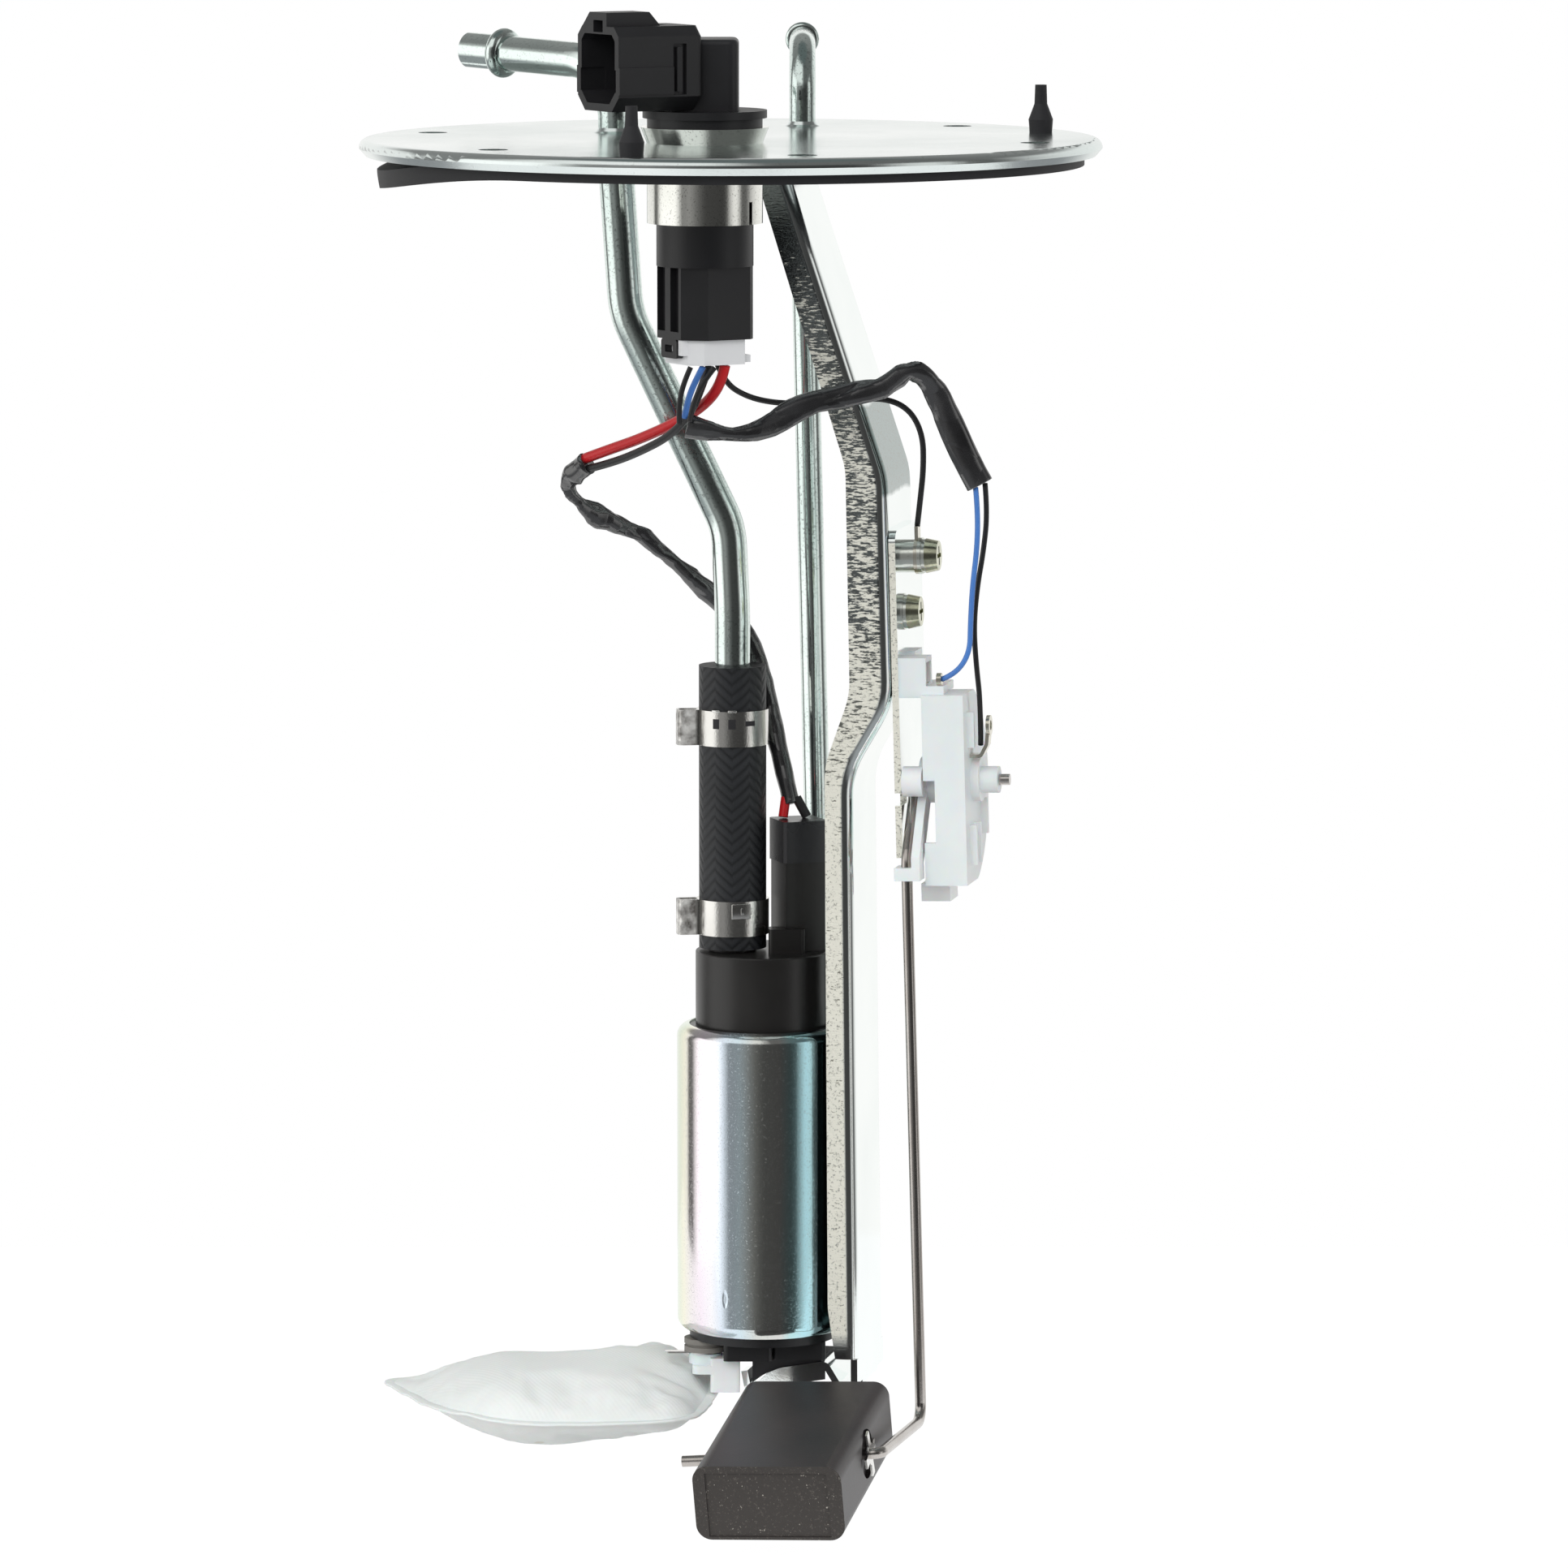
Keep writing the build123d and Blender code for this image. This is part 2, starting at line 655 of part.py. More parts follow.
with BuildPart() as bracket:
    with BuildSketch(across(channel_front)):
        make_face(channel_outline())
    extrude(amount=-channel_width)
    fillet(web_edges(bracket, 0, (channel_front, channel_front + channel_width)), outer_bend)
    add(channel_hollow.part, mode=Mode.SUBTRACT)
    with BuildSketch(across(channel_front)):
        with BuildLine():
            Polyline((26.6, lip_end), (28.1, lip_end), (28.14, lip_end - 5.6), (26.64, lip_end - 5.6), close=True)
        make_face()
    extrude(amount=-channel_width)
    with BuildSketch(across(foot_b)):
        with BuildLine():
            FilletPolyline(*foot_line[:-1], radius=foot_turns[:-1])
        trace(line_width=sheet)
    extrude(amount=-foot_width)
    with BuildSketch(across(foot_b + 1.5)):
        with BuildLine():
            FilletPolyline(*foot_line[-3:], radius=foot_turns[-1])
        trace(line_width=sheet)
    extrude(amount=-tab_width)
    with BuildSketch(across(foot_b)):
        with BuildLine():
            ridge = foot_line[3:6]
            under_ridge = [(a, z - foot_lip) for a, z in reversed(ridge)]
            Polyline(*ridge, *under_ridge, close=True)
        make_face()
    extrude(amount=-sheet)
    # top tab, welded flat to the underside of the flange
    with BuildSketch(level(0, web_edge[0][0] + 4.5, channel_front + channel_width / 2)):
        Rectangle(14.0, channel_width - 10.0)
    extrude(amount=-sheet)
    # holes for the two sender screws
    screw_b = 11.0
    screw_heights = (plate_top - 6.0, plate_top - 18.5)
    for screw_z in screw_heights:
        screw_h = (screw_z - pivot_z) / cos(lean_angle)
        with BuildSketch(Plane(origin=sender_point(-2 * sheet, screw_b - pivot_b, screw_h), x_dir=U, z_dir=NS)):
            Circle(2.55)
        extrude(amount=sheet * 1.5, both=True, mode=Mode.SUBTRACT)
save(bracket.part, "bracket")

# ------------------------------------------------------------------ level sender: plate and fixings
screw_dia = 5.0
head_dia = 7.8
head_height = 2.8
spacer_length = 3.6
washer_thickness = 0.8
terminal_thickness = 0.8
plate_top_h = (plate_top - pivot_z) / cos(lean_angle)
plate_bottom_h = (plate_bottom - pivot_z) / cos(lean_angle)
front = plate_front - pivot_b
peg_dia = 3.2
peg_spots = ((-2.0, 26.5), (10.0, 26.5))

with BuildPart() as sender_plate:
    with BuildSketch(sender_plane(0)):
        with Locations((front + plate_width / 2, (plate_top_h + plate_bottom_h) / 2)):
            Rectangle(plate_width, plate_top_h - plate_bottom_h)
        fillet(vertices().group_by(Axis.Y)[-1], 3.0)
        with Locations((front + notch_depth / 2, -3.4)):
            Rectangle(notch_depth, notch_height, mode=Mode.SUBTRACT)
        for screw_z in screw_heights:
            with Locations((screw_b - pivot_b, (screw_z - pivot_z) / cos(lean_angle))):
                Circle(screw_dia / 2 + fit_gap, mode=Mode.SUBTRACT)
        with Locations(*peg_spots):
            Circle(peg_dia / 2 + fit_gap, mode=Mode.SUBTRACT)
    extrude(amount=-sheet)
save(sender_plate.part, "sender_plate")

# Each stack runs out from the plate: (height, spacer, ring terminal).
stacks = ((screw_heights[0], spacer_length, terminal_thickness), (screw_heights[1], 0.0, 0.0))
under_web = -2 * sheet
nut_thickness = 3.6


def stack_plane(height, off):
    h = (height - pivot_z) / cos(lean_angle)
    return Plane(origin=sender_point(off, screw_b - pivot_b, h), x_dir=U, z_dir=NS)


with BuildPart() as sender_screws:
    for height, spacer, terminal in stacks:
        head_off = spacer + terminal + 2 * washer_thickness
        with BuildSketch(stack_plane(height, under_web - nut_thickness)):
            Circle(screw_dia / 2)
        extrude(amount=nut_thickness - under_web + head_off)
        with BuildSketch(stack_plane(height, head_off)):
            Circle(head_dia / 2)
        extrude(amount=head_height, taper=12)
    for height, spacer, terminal in stacks:
        head_off = spacer + terminal + 2 * washer_thickness
        with BuildSketch(stack_plane(height, head_off + head_height)):
            Rectangle(4.2, 0.9)
            Rectangle(0.9, 4.2)
        extrude(amount=-1.2, mode=Mode.SUBTRACT)
save(sender_screws.part, "sender_screws")

with BuildPart() as sender_washers:
    for height, spacer, terminal in stacks:
        with BuildSketch(stack_plane(height, spacer + terminal)):
            Circle(4.1)
            Circle(screw_dia / 2 + fit_gap, mode=Mode.SUBTRACT)
        extrude(amount=washer_thickness)
        with BuildSketch(stack_plane(height, spacer + terminal + washer_thickness + 0.02)):
            Circle(3.8)
            Circle(screw_dia / 2 + fit_gap, mode=Mode.SUBTRACT)
            with Locations((2.6, -2.6)):
                Rectangle(0.5, 3.6, rotation=35, mode=Mode.SUBTRACT)
        extrude(amount=washer_thickness - 0.04)
save(sender_washers.part, "sender_washers")

with BuildPart() as screw_spacer:
    with BuildSketch(stack_plane(screw_heights[0], 0)):
        Circle(3.7)
        Circle(screw_dia / 2 + fit_gap, mode=Mode.SUBTRACT)
    extrude(amount=spacer_length)
save(screw_spacer.part, "screw_spacer")

with BuildPart() as weld_nuts:
    for height, spacer, terminal in stacks:
        with BuildSketch(stack_plane(height, under_web - nut_thickness)):
            RegularPolygon(4.4, 6)
            Circle(screw_dia / 2 + fit_gap, mode=Mode.SUBTRACT)
        extrude(amount=nut_thickness)
save(weld_nuts.part, "weld_nuts")

with BuildPart() as ground_terminal:
    with BuildSketch(stack_plane(screw_heights[0], spacer_length)):
        Circle(4.1)
        with Locations((0, 5.0)):
            Rectangle(3.0, 3.4)
        Circle(screw_dia / 2 + fit_gap, mode=Mode.SUBTRACT)
    extrude(amount=terminal_thickness)
save(ground_terminal.part, "ground_terminal")

# ------------------------------------------------------------------ level sender: housing and moving arm
body_near, body_far = 5.4, 14.9
body_front, body_rear = -11.0, 17.0
body_top, body_bottom = 20.2, -22.6
body_wall = 1.5
hub_r = 5.2
hub_start = 3.1
rotor_disc_off = 8.6
rotor_disc_thickness = 1.4
card_thickness = 0.9
axle_bore_r = wire_dia / 2 + fit_gap
boss_r = 4.9
boss_far = 16.7
spigot_r = 3.0
spigot_far = 20.7
block_width, block_height, block_far = 7.4, 8.2, 6.2


def housing_outline(inset=0.0):
    """Straight front edge, rounded rear: the sender case seen along its axle."""
    with BuildLine() as outline:
        top = body_top - inset
        bottom = body_bottom + inset
        near = body_front + inset
        Polyline((2.0, top), (near, top), (near, bottom), (2.0, bottom))
        ThreePointArc((2.0, bottom), (body_rear - inset, (top + bottom) / 2), (2.0, top))
    return outline.edges()


with BuildPart() as sender_housing:
    with BuildSketch(sender_plane(body_near)):
        make_face(housing_outline())
    extrude(amount=body_far - body_near)
    with BuildSketch(sender_plane(body_near)):
        make_face(housing_outline(body_wall))
    extrude(amount=body_far - body_near - body_wall, mode=Mode.SUBTRACT)
    # the arm leaves through the open lower front of the case
    with BuildSketch(sender_plane(body_near)):
        with Locations((body_front, -6.0)):
            Rectangle(2 * body_wall + 1.0, 14.0)
    extrude(amount=2.6, mode=Mode.SUBTRACT)
    with BuildSketch(sender_plane(body_far)):
        Circle(boss_r)
    extrude(amount=boss_far - body_far)
    with BuildSketch(sender_plane(boss_far)):
        Circle(spigot_r)
    extrude(amount=spigot_far - boss_far)
    with BuildSketch(sender_plane(body_far)):
        for rib_b, rib_h, rib_long in ((-6.0, -14.0, 9.0), (-1.0, -14.0, 9.0), (7.5, -9.0, 8.0), (-6.5, 12.0, 8.0)):
            with Locations((rib_b, rib_h)):
                Rectangle(1.2, rib_long)
    extrude(amount=1.6)
    # mounting shelf, terminal block with its slot, and the lug that takes the blue lead
    with BuildSketch(sender_plane(0)):
        with Locations((front + 10.0, body_top + 0.2)):
            Rectangle(20.0, 1.9)
    extrude(amount=body_near + 3.2)
    with BuildSketch(sender_plane(0)):
        with Locations((front + block_width / 2, body_top + block_height / 2)):
            Rectangle(block_width, block_height)
    extrude(amount=block_far)
    with BuildSketch(sender_plane(0)):
        with Locations((front + 14.0, body_top + 4.4)):
            Rectangle(8.0, 8.6)
    extrude(amount=2.0)
    with BuildSketch(sender_plane(block_far - 1.9)):
        with Locations((front + block_width / 2, body_top + block_height / 2 + 0.6)):
            Rectangle(block_width - 2.2, block_height - 3.4)
    extrude(amount=1.9, mode=Mode.SUBTRACT)
    with BuildSketch(sender_plane(block_far - 0.4)):
        with Locations((front + 2.6, body_top + 0.9)):
            Rectangle(5.2, 2.0)
    extrude(amount=4.4)
    with BuildSketch(sender_plane(0)):
        with Locations(*peg_spots):
            Circle(peg_dia / 2)
    extrude(amount=-sheet)
    # foot and post at the lower edge
    with BuildSketch(sender_plane(1.9)):
        with Locations((6.0, body_bottom - 3.2)):
            Rectangle(9.0, 4.0)
    extrude(amount=6.6)
    with BuildSketch(sender_plane(body_near)):
        with Locations((6.0, body_bottom - 1.0)):
            Rectangle(9.0, 3.0)
    extrude(amount=3.1)
    with BuildSketch(sender_plane(under_web)):
        Circle(axle_bore_r)
    extrude(amount=spigot_far - under_web, mode=Mode.SUBTRACT)
save(sender_housing.part, "sender_housing")

card_off = body_far - body_wall - card_thickness
with BuildPart() as resistor_card:
    with BuildSketch(sender_plane(card_off)):
        make_face(housing_outline(body_wall + fit_gap))
        with Locations((5.5, 6.0)):
            Rectangle(16.0, 17.0, mode=Mode.INTERSECT)
        Circle(axle_bore_r + 0.6, mode=Mode.SUBTRACT)
    extrude(amount=card_thickness)
save(resistor_card.part, "resistor_card")

tab_b = -3.0
tab_sheet = 0.8
tab_bends = [(body_far, 5.8), (17.4, 5.8), (18.8, 8.4), (19.2, 12.4)]
with BuildPart() as sender_terminals:
    with BuildSketch(sender_plane(block_far - 1.9)):
        with Locations((front + block_width / 2, body_top + block_height / 2 + 0.6)):
            Rectangle(block_width - 3.4, block_height - 4.6)
    extrude(amount=0.9)
    # ring tab: a strip from the case that turns up beside the lead, with its crimp round the lead's end
    with BuildSketch(Plane(origin=sender_point(0, tab_b, 0), x_dir=NS, z_dir=-U)):
        with BuildLine():
            FilletPolyline(*tab_bends, radius=0.9)
        trace(line_width=tab_sheet)
    extrude(amount=1.6, both=True)
    with BuildSketch(Plane(origin=sender_point(19.2, tab_b, 12.6), x_dir=U, z_dir=NS)):
        Circle(2.3)
    extrude(amount=tab_sheet / 2, both=True)
    with BuildSketch(Plane(origin=sender_point(19.2, tab_b, 12.6), x_dir=U, z_dir=NS)):
        Circle(1.1)
    extrude(amount=tab_sheet, both=True, mode=Mode.SUBTRACT)
save(sender_terminals.part, "sender_terminals")

corner_low = sender_point(wire_offset, -arm_set_forward, -arm_drop)
corner_float = sender_point(wire_offset - 1.0, -arm_set_forward - arm_reach, -arm_drop + 0.6)
axle_drop = axle_span * tan(radians(axle_tilt))
axle_end = corner_float - NS * axle_span - ZS * axle_drop
arm_points = [
    sender_point(axle_stub, 0, 0),
    sender_point(wire_offset, 0, 0),
    sender_point(wire_offset, -arm_set_forward, -arm_bend_drop),
    corner_low,
    corner_float,
    axle_end,
]
arm_radii = [3.0, 6.0, 4.0, 2.0]

with BuildPart() as arm_wire:
    with BuildLine() as arm_run:
        FilletPolyline(*arm_points, radius=arm_radii)
    with BuildSketch(Plane(origin=arm_run.line @ 0, z_dir=arm_run.line % 0)):
        Circle(wire_dia / 2)
    sweep(path=arm_run.line)
save(arm_wire.part, "arm_wire")

clip_size = 5.4
with BuildPart() as sender_rotor:
    with BuildSketch(sender_plane(hub_start)):
        Circle(hub_r)
    extrude(amount=rotor_disc_off - hub_start)
    with BuildSketch(sender_plane(rotor_disc_off)):
        Circle(8.2)
    extrude(amount=rotor_disc_thickness)
    # arm beside the wire, ending in the clip that grips it
    with BuildSketch(sender_plane(hub_start)):
        with BuildLine():
            Polyline((0, 0), (-arm_set_forward, -arm_bend_drop), (-arm_set_forward, -arm_bend_drop - 3.0))
        trace(line_width=5.0)
    extrude(amount=1.9)
    with BuildSketch(sender_plane(wire_offset - 2.4)):
        with Locations((-arm_set_forward, -arm_bend_drop - 3.0)):
            Rectangle(clip_size, 2.9)
    extrude(amount=hub_start + 1.9 - wire_offset + 2.4)
    with BuildSketch(sender_plane(0.5)):
        with Locations((-8.2, 0.6)):
            Circle(3.4)
    extrude(amount=hub_start + 1.9 - 0.5)
    # the wire's own track: bore along the axle, groove down the arm, grip in the clip
    with BuildSketch(sender_plane(hub_start - 1.0)):
        Circle(wire_dia / 2)
    extrude(amount=rotor_disc_off + rotor_disc_thickness - hub_start + 1.0, mode=Mode.SUBTRACT)
    add(arm_wire.part, mode=Mode.SUBTRACT)
save(sender_rotor.part, "sender_rotor")

with BuildPart() as sender_wiper:
    wiper_off = rotor_disc_off + rotor_disc_thickness
    with BuildSketch(sender_plane(wiper_off)):
        with Locations((0, 5.5)):
            Rectangle(3.4, 4.0)
    extrude(amount=0.5)
    with BuildSketch(sender_plane(wiper_off)):
        with Locations((-1.1, 10.5), (1.1, 10.5)):
            Rectangle(1.1, 8.0)
    extrude(amount=0.5)
    with BuildSketch(sender_plane(wiper_off)):
        with Locations((-1.1, 13.2), (1.1, 13.2)):
            Circle(0.55)
    extrude(amount=card_off - wiper_off - 0.05)
save(sender_wiper.part, "sender_wiper")

# ------------------------------------------------------------------ float
axle_dir = (corner_float - axle_end).normalized()
float_right = corner_float - axle_dir * 3.0
float_mid = float_right - axle_dir * (float_width / 2)
upright = (Z - axle_dir * Z.dot(axle_dir)).normalized()
rearward = upright.cross(axle_dir)
tilt = radians(float_tilt)
float_up = upright * cos(tilt) - rearward * sin(tilt)
float_round = 3.4


def float_plane(off):
    """Plane across the float's axle, off from its middle: x runs down the float's length."""
    return Plane(origin=float_mid + axle_dir * off, x_dir=float_up.cross(axle_dir), z_dir=axle_dir)


# The block sits a little askew on the wire: rolled about its length, then yawed about its height.
roll, yaw = radians(float_roll), radians(float_yaw)
lengthwise = float_up.cross(axle_dir)
rolled = axle_dir * cos(roll) - float_up * sin(roll)
block_wide = (rolled * cos(yaw) - lengthwise * sin(yaw)).normalized()
block_up = (float_up - block_wide * float_up.dot(block_wide)).normalized()
block_long = block_up.cross(block_wide)
block_mid = float_mid - Z * float_sag
end_inset = 0.35


def block_plane(off):
    """Plane across the float block's width, off from its middle: x runs down its length, y up."""
    return Plane(origin=block_mid + block_wide * off, x_dir=block_long, z_dir=block_wide)


with BuildPart() as float_block:
    with BuildSketch(block_plane(-float_width / 2)):
        Rectangle(float_length, float_height)
    extrude(amount=float_width)
    fillet(float_block.edges().filter_by(Axis(block_mid, block_long)), float_round)
    # the end towards the front is set in a little between its skins
    near_end = Plane(origin=block_mid - block_long * (float_length / 2), x_dir=block_wide, z_dir=-block_long)
    with BuildSketch(near_end):
        with Locations((-0.2, -0.5)):
            Rectangle(float_width - 6.0, float_height - 2.4)
    extrude(amount=-end_inset, mode=Mode.SUBTRACT)
    with BuildSketch(float_plane(-float_width)):
        Circle(wire_dia / 2 + float_bore_clearance)
    extrude(amount=2 * float_width, mode=Mode.SUBTRACT)
    with BuildSketch(float_plane(float_width / 2 - 1.2)):
        Circle(5.5)
    extrude(amount=4.0, mode=Mode.SUBTRACT)
save(float_block.part, "float_block")

with BuildPart() as float_clip:
    with BuildSketch(float_plane(float_width / 2 + 0.35)):
        Circle(2.5)
        with PolarLocations(3.2, 4, 8):
            Rectangle(3.8, 2.2)
        Circle(wire_dia / 2, mode=Mode.SUBTRACT)
    extrude(amount=0.5)
save(float_clip.part, "float_clip")

with BuildPart() as float_stop:
    with BuildSketch(float_plane(-float_width / 2 - 0.9)):
        Circle(wire_dia / 2 + 0.55)
        Circle(wire_dia / 2, mode=Mode.SUBTRACT)
    extrude(amount=0.6)
save(float_stop.part, "float_stop")

# ------------------------------------------------------------------ pump: can, caps and what turns inside
PUMP = Vector(pump_x, pump_y, 0)
pump_axis = Axis(PUMP, (0, 0, 1))
can_r = can_dia / 2
can_bottom = can_top - can_length
can_inner_r = can_r - can_wall
cap_r = cap_dia / 2
mouth_r = can_r - can_shoulder
inner_round = can_shoulder - can_wall
seat_r = can_inner_r - fit_gap
chamber_z = can_bottom + 10.4
stack_base = can_bottom + 15.0
hose_bore = supply_dia + 2 * 0.02
hose_r = hose_dia / 2


def pump_plane(z):
    return at(pump_x, pump_y, z)


pump_section = Plane(origin=PUMP, x_dir=(1, 0, 0), z_dir=(0, -1, 0))

with BuildPart() as pump_can:
    with BuildSketch(pump_section):
        with BuildLine():
            Line((mouth_r, can_top - can_wall), (mouth_r, can_top))
            CenterArc((mouth_r, can_top - can_shoulder), can_shoulder, 90, -90)
            Line((can_r, can_top - can_shoulder), (can_r, can_bottom + can_shoulder))
            CenterArc((mouth_r, can_bottom + can_shoulder), can_shoulder, 0, -90)
            Polyline(
                (mouth_r, can_bottom),
                (mouth_r, can_bottom + can_wall),
                (mouth_r + 0.6 * inner_round, can_bottom + can_wall + 0.2 * inner_round),
                (can_inner_r, can_bottom + can_shoulder),
                (can_inner_r, can_top - can_shoulder),
                (mouth_r + 0.6 * inner_round, can_top - can_wall - 0.2 * inner_round),
                (mouth_r, can_top - can_wall),
            )
        make_face()
    revolve(axis=pump_axis)
save(pump_can.part, "pump_can")

cap_foot = can_top - 11.0
cap_flange_top = can_top - can_shoulder - fit_gap
brush_spot = 6.8
brush_long, brush_wide = 5.0, 4.0
valve_r = 3.6
valve_seat_z = can_top - 1.5
valve_roof = can_top + 8.5
elec_turn = 20.0
elec_x, elec_y = 15.0, 15.6
elec_width, elec_depth = 9.5, 9.6
elec_top = cap_top + 20.3
elec_wall = 1.2


def elec_plane(z):
    turned = radians(elec_turn)
    return Plane(origin=(elec_x, elec_y, z), x_dir=(cos(turned), sin(turned), 0), z_dir=(0, 0, 1))


with BuildPart() as outlet_cap:
    with BuildSketch(pump_plane(cap_foot)):
        Circle(cap_r)
    extrude(amount=cap_top - cap_foot)
    fillet(outlet_cap.edges().group_by(Axis.Z)[-1], 0.35)
    with BuildSketch(pump_plane(cap_foot)):
        Circle(seat_r)
    extrude(amount=cap_flange_top - cap_foot)
    with BuildSketch(pump_plane(cap_foot)):
        Circle(mouth_r - fit_gap)
    extrude(amount=can_top - 0.4 - cap_foot)
    with BuildSketch(elec_plane(cap_top)):
        Rectangle(elec_width, elec_depth)
    extrude(amount=elec_top - cap_top)
    with BuildSketch(elec_plane(elec_top)):
        Rectangle(elec_width - 2 * elec_wall, elec_depth - 2 * elec_wall)
    extrude(amount=-13.0, mode=Mode.SUBTRACT)
    with BuildSketch(at(pump_x + 5.4, pump_y - 5.0, cap_top)):
        RectangleRounded(8.2, 5.0, 1.0)
    extrude(amount=5.6)
    with BuildSketch(at(barb_x, pump_y, cap_top)):
        Circle(5.4)
    extrude(amount=hose_bottom - cap_top)
    with BuildSketch(Plane(origin=(barb_x, pump_y, 0), x_dir=(1, 0, 0), z_dir=(0, -1, 0))):
        ridge_r = hose_bore / 2 - 0.01
        stem_r = ridge_r - 0.5
        with BuildLine():
            Polyline(
                (0, cap_top - 0.5),
                (stem_r, cap_top - 0.5),
                (stem_r, barb_top - 12.0),
                (ridge_r, barb_top - 12.0),
                (stem_r, barb_top - 8.0),
                (ridge_r, barb_top - 8.0),
                (stem_r, barb_top - 4.0),
                (ridge_r, barb_top - 4.0),
                (stem_r - 0.4, barb_top),
                (0, barb_top),
                close=True,
            )
        make_face()
    revolve(axis=Axis((barb_x, pump_y, 0), (0, 0, 1)))
    # fuel way: inlet under the seat, valve chamber, bore through the barb
    with BuildSketch(at(barb_x, pump_y, cap_foot)):
        Circle(1.9)
    extrude(amount=barb_top - cap_foot, mode=Mode.SUBTRACT)
    with BuildSketch(at(barb_x, pump_y, valve_seat_z)):
        Circle(valve_r)
    extrude(amount=valve_roof - valve_seat_z, mode=Mode.SUBTRACT)
    # shaft bearing and the two brush wells
    with BuildSketch(pump_plane(cap_foot)):
        Circle(shaft_dia / 2 + fit_gap)
        with Locations((0, brush_spot), (0, -brush_spot)):
            Rectangle(brush_long + 2 * fit_gap, brush_wide + 2 * fit_gap)
    extrude(amount=8.0, mode=Mode.SUBTRACT)
save(outlet_cap.part, "outlet_cap")

valve_lift = valve_roof - valve_seat_z
valve_head = 1.8
with BuildPart() as check_valve:
    with BuildSketch(at(barb_x, pump_y, valve_seat_z)):
        Circle(valve_r - 0.4)
    extrude(amount=valve_head)
    with BuildSketch(at(barb_x, pump_y, valve_seat_z + valve_head)):
        Circle(1.2)
    extrude(amount=3.2)
save(check_valve.part, "check_valve")

with BuildPart() as check_spring:
    spring_wire = 0.5
    spring_seat = spring_wire / 2 + 0.02
    spring_base = valve_seat_z + valve_head + spring_seat
    spring_height = valve_roof - spring_seat - spring_base
    spring_turns = 3
    spring_r = 2.4
    steps = 12
    coil_points = []
    for k in range(spring_turns * steps + 1):
        around = 2 * pi * k / steps
        rise = spring_height * k / (spring_turns * steps)
        coil_points.append((barb_x + spring_r * cos(around), pump_y + spring_r * sin(around), spring_base + rise))
    with BuildLine() as coil:
        Polyline(*coil_points)
    with BuildSketch(Plane(origin=coil.line @ 0, z_dir=coil.line % 0)):
        RegularPolygon(spring_wire / 2, 8)
    sweep(path=coil.line, transition=Transition.RIGHT)
save(check_spring.part, "check_spring")

armature_base = stack_base + armature_seat
armature_top = armature_base + armature_length
commutator_top = cap_foot - 1.6
shaft_base = can_bottom + 4.2
with BuildPart() as motor_shaft:
    with BuildSketch(pump_plane(shaft_base)):
        Circle(shaft_dia / 2)
    extrude(amount=cap_foot + shaft_journal - shaft_base)
save(motor_shaft.part, "motor_shaft")

with BuildPart() as armature:
    with BuildSketch(pump_plane(armature_base)):
        Circle(armature_dia / 2)
        with PolarLocations(armature_dia / 2 - 1.6, 8):
            Rectangle(4.2, 1.4, mode=Mode.SUBTRACT)
        Circle(shaft_dia / 2 + 0.02, mode=Mode.SUBTRACT)
    extrude(amount=armature_length)
    with BuildSketch(pump_plane(armature_top)):
        Circle(commutator_dia / 2)
        Circle(shaft_dia / 2 + 0.02, mode=Mode.SUBTRACT)
    extrude(amount=commutator_top - armature_top)
save(armature.part, "armature")

with BuildPart() as motor_magnets:
    with BuildSketch(pump_plane(armature_base - 1.0)):
        Circle(can_inner_r - fit_gap)
        Circle(can_inner_r - magnet_thickness, mode=Mode.SUBTRACT)
        Rectangle(4 * can_r, magnet_gap, mode=Mode.SUBTRACT)
    extrude(amount=armature_length + 2.0)
save(motor_magnets.part, "motor_magnets")

with BuildPart() as motor_brushes:
    with BuildSketch(pump_plane(commutator_top)):
        with Locations((0, brush_spot), (0, -brush_spot)):
            Rectangle(brush_long, brush_wide)
    extrude(amount=cap_foot + 3.0 - commutator_top)
save(motor_brushes.part, "motor_brushes")

impeller_gap = 0.1
chamber_depth = impeller_thickness + 2 * impeller_gap
with BuildPart() as pump_chamber:
    with BuildSketch(pump_plane(chamber_z - chamber_depth)):
        Circle(seat_r)
    extrude(amount=stack_base + 3.6 - chamber_z + chamber_depth)
    with BuildSketch(pump_plane(chamber_z - chamber_depth)):
        Circle(impeller_dia / 2 + impeller_gap)
    extrude(amount=chamber_depth, mode=Mode.SUBTRACT)
    with BuildSketch(pump_plane(chamber_z)):
        Circle(shaft_dia / 2 + fit_gap)
        with Locations((0, -chamber_port_reach)):
            SlotOverall(chamber_port_length, 3.0)
    extrude(amount=stack_base + 3.6 - chamber_z, mode=Mode.SUBTRACT)
save(pump_chamber.part, "pump_chamber")

with BuildPart() as impeller:
    with BuildSketch(pump_plane(chamber_z - chamber_depth + impeller_gap)):
        Circle(impeller_dia / 2)
        with PolarLocations(impeller_dia / 2 - 1.4, blade_count):
            Rectangle(2.0, 1.9, mode=Mode.SUBTRACT)
        Circle(shaft_dia / 2, mode=Mode.SUBTRACT)
    extrude(amount=impeller_thickness)
save(impeller.part, "impeller")

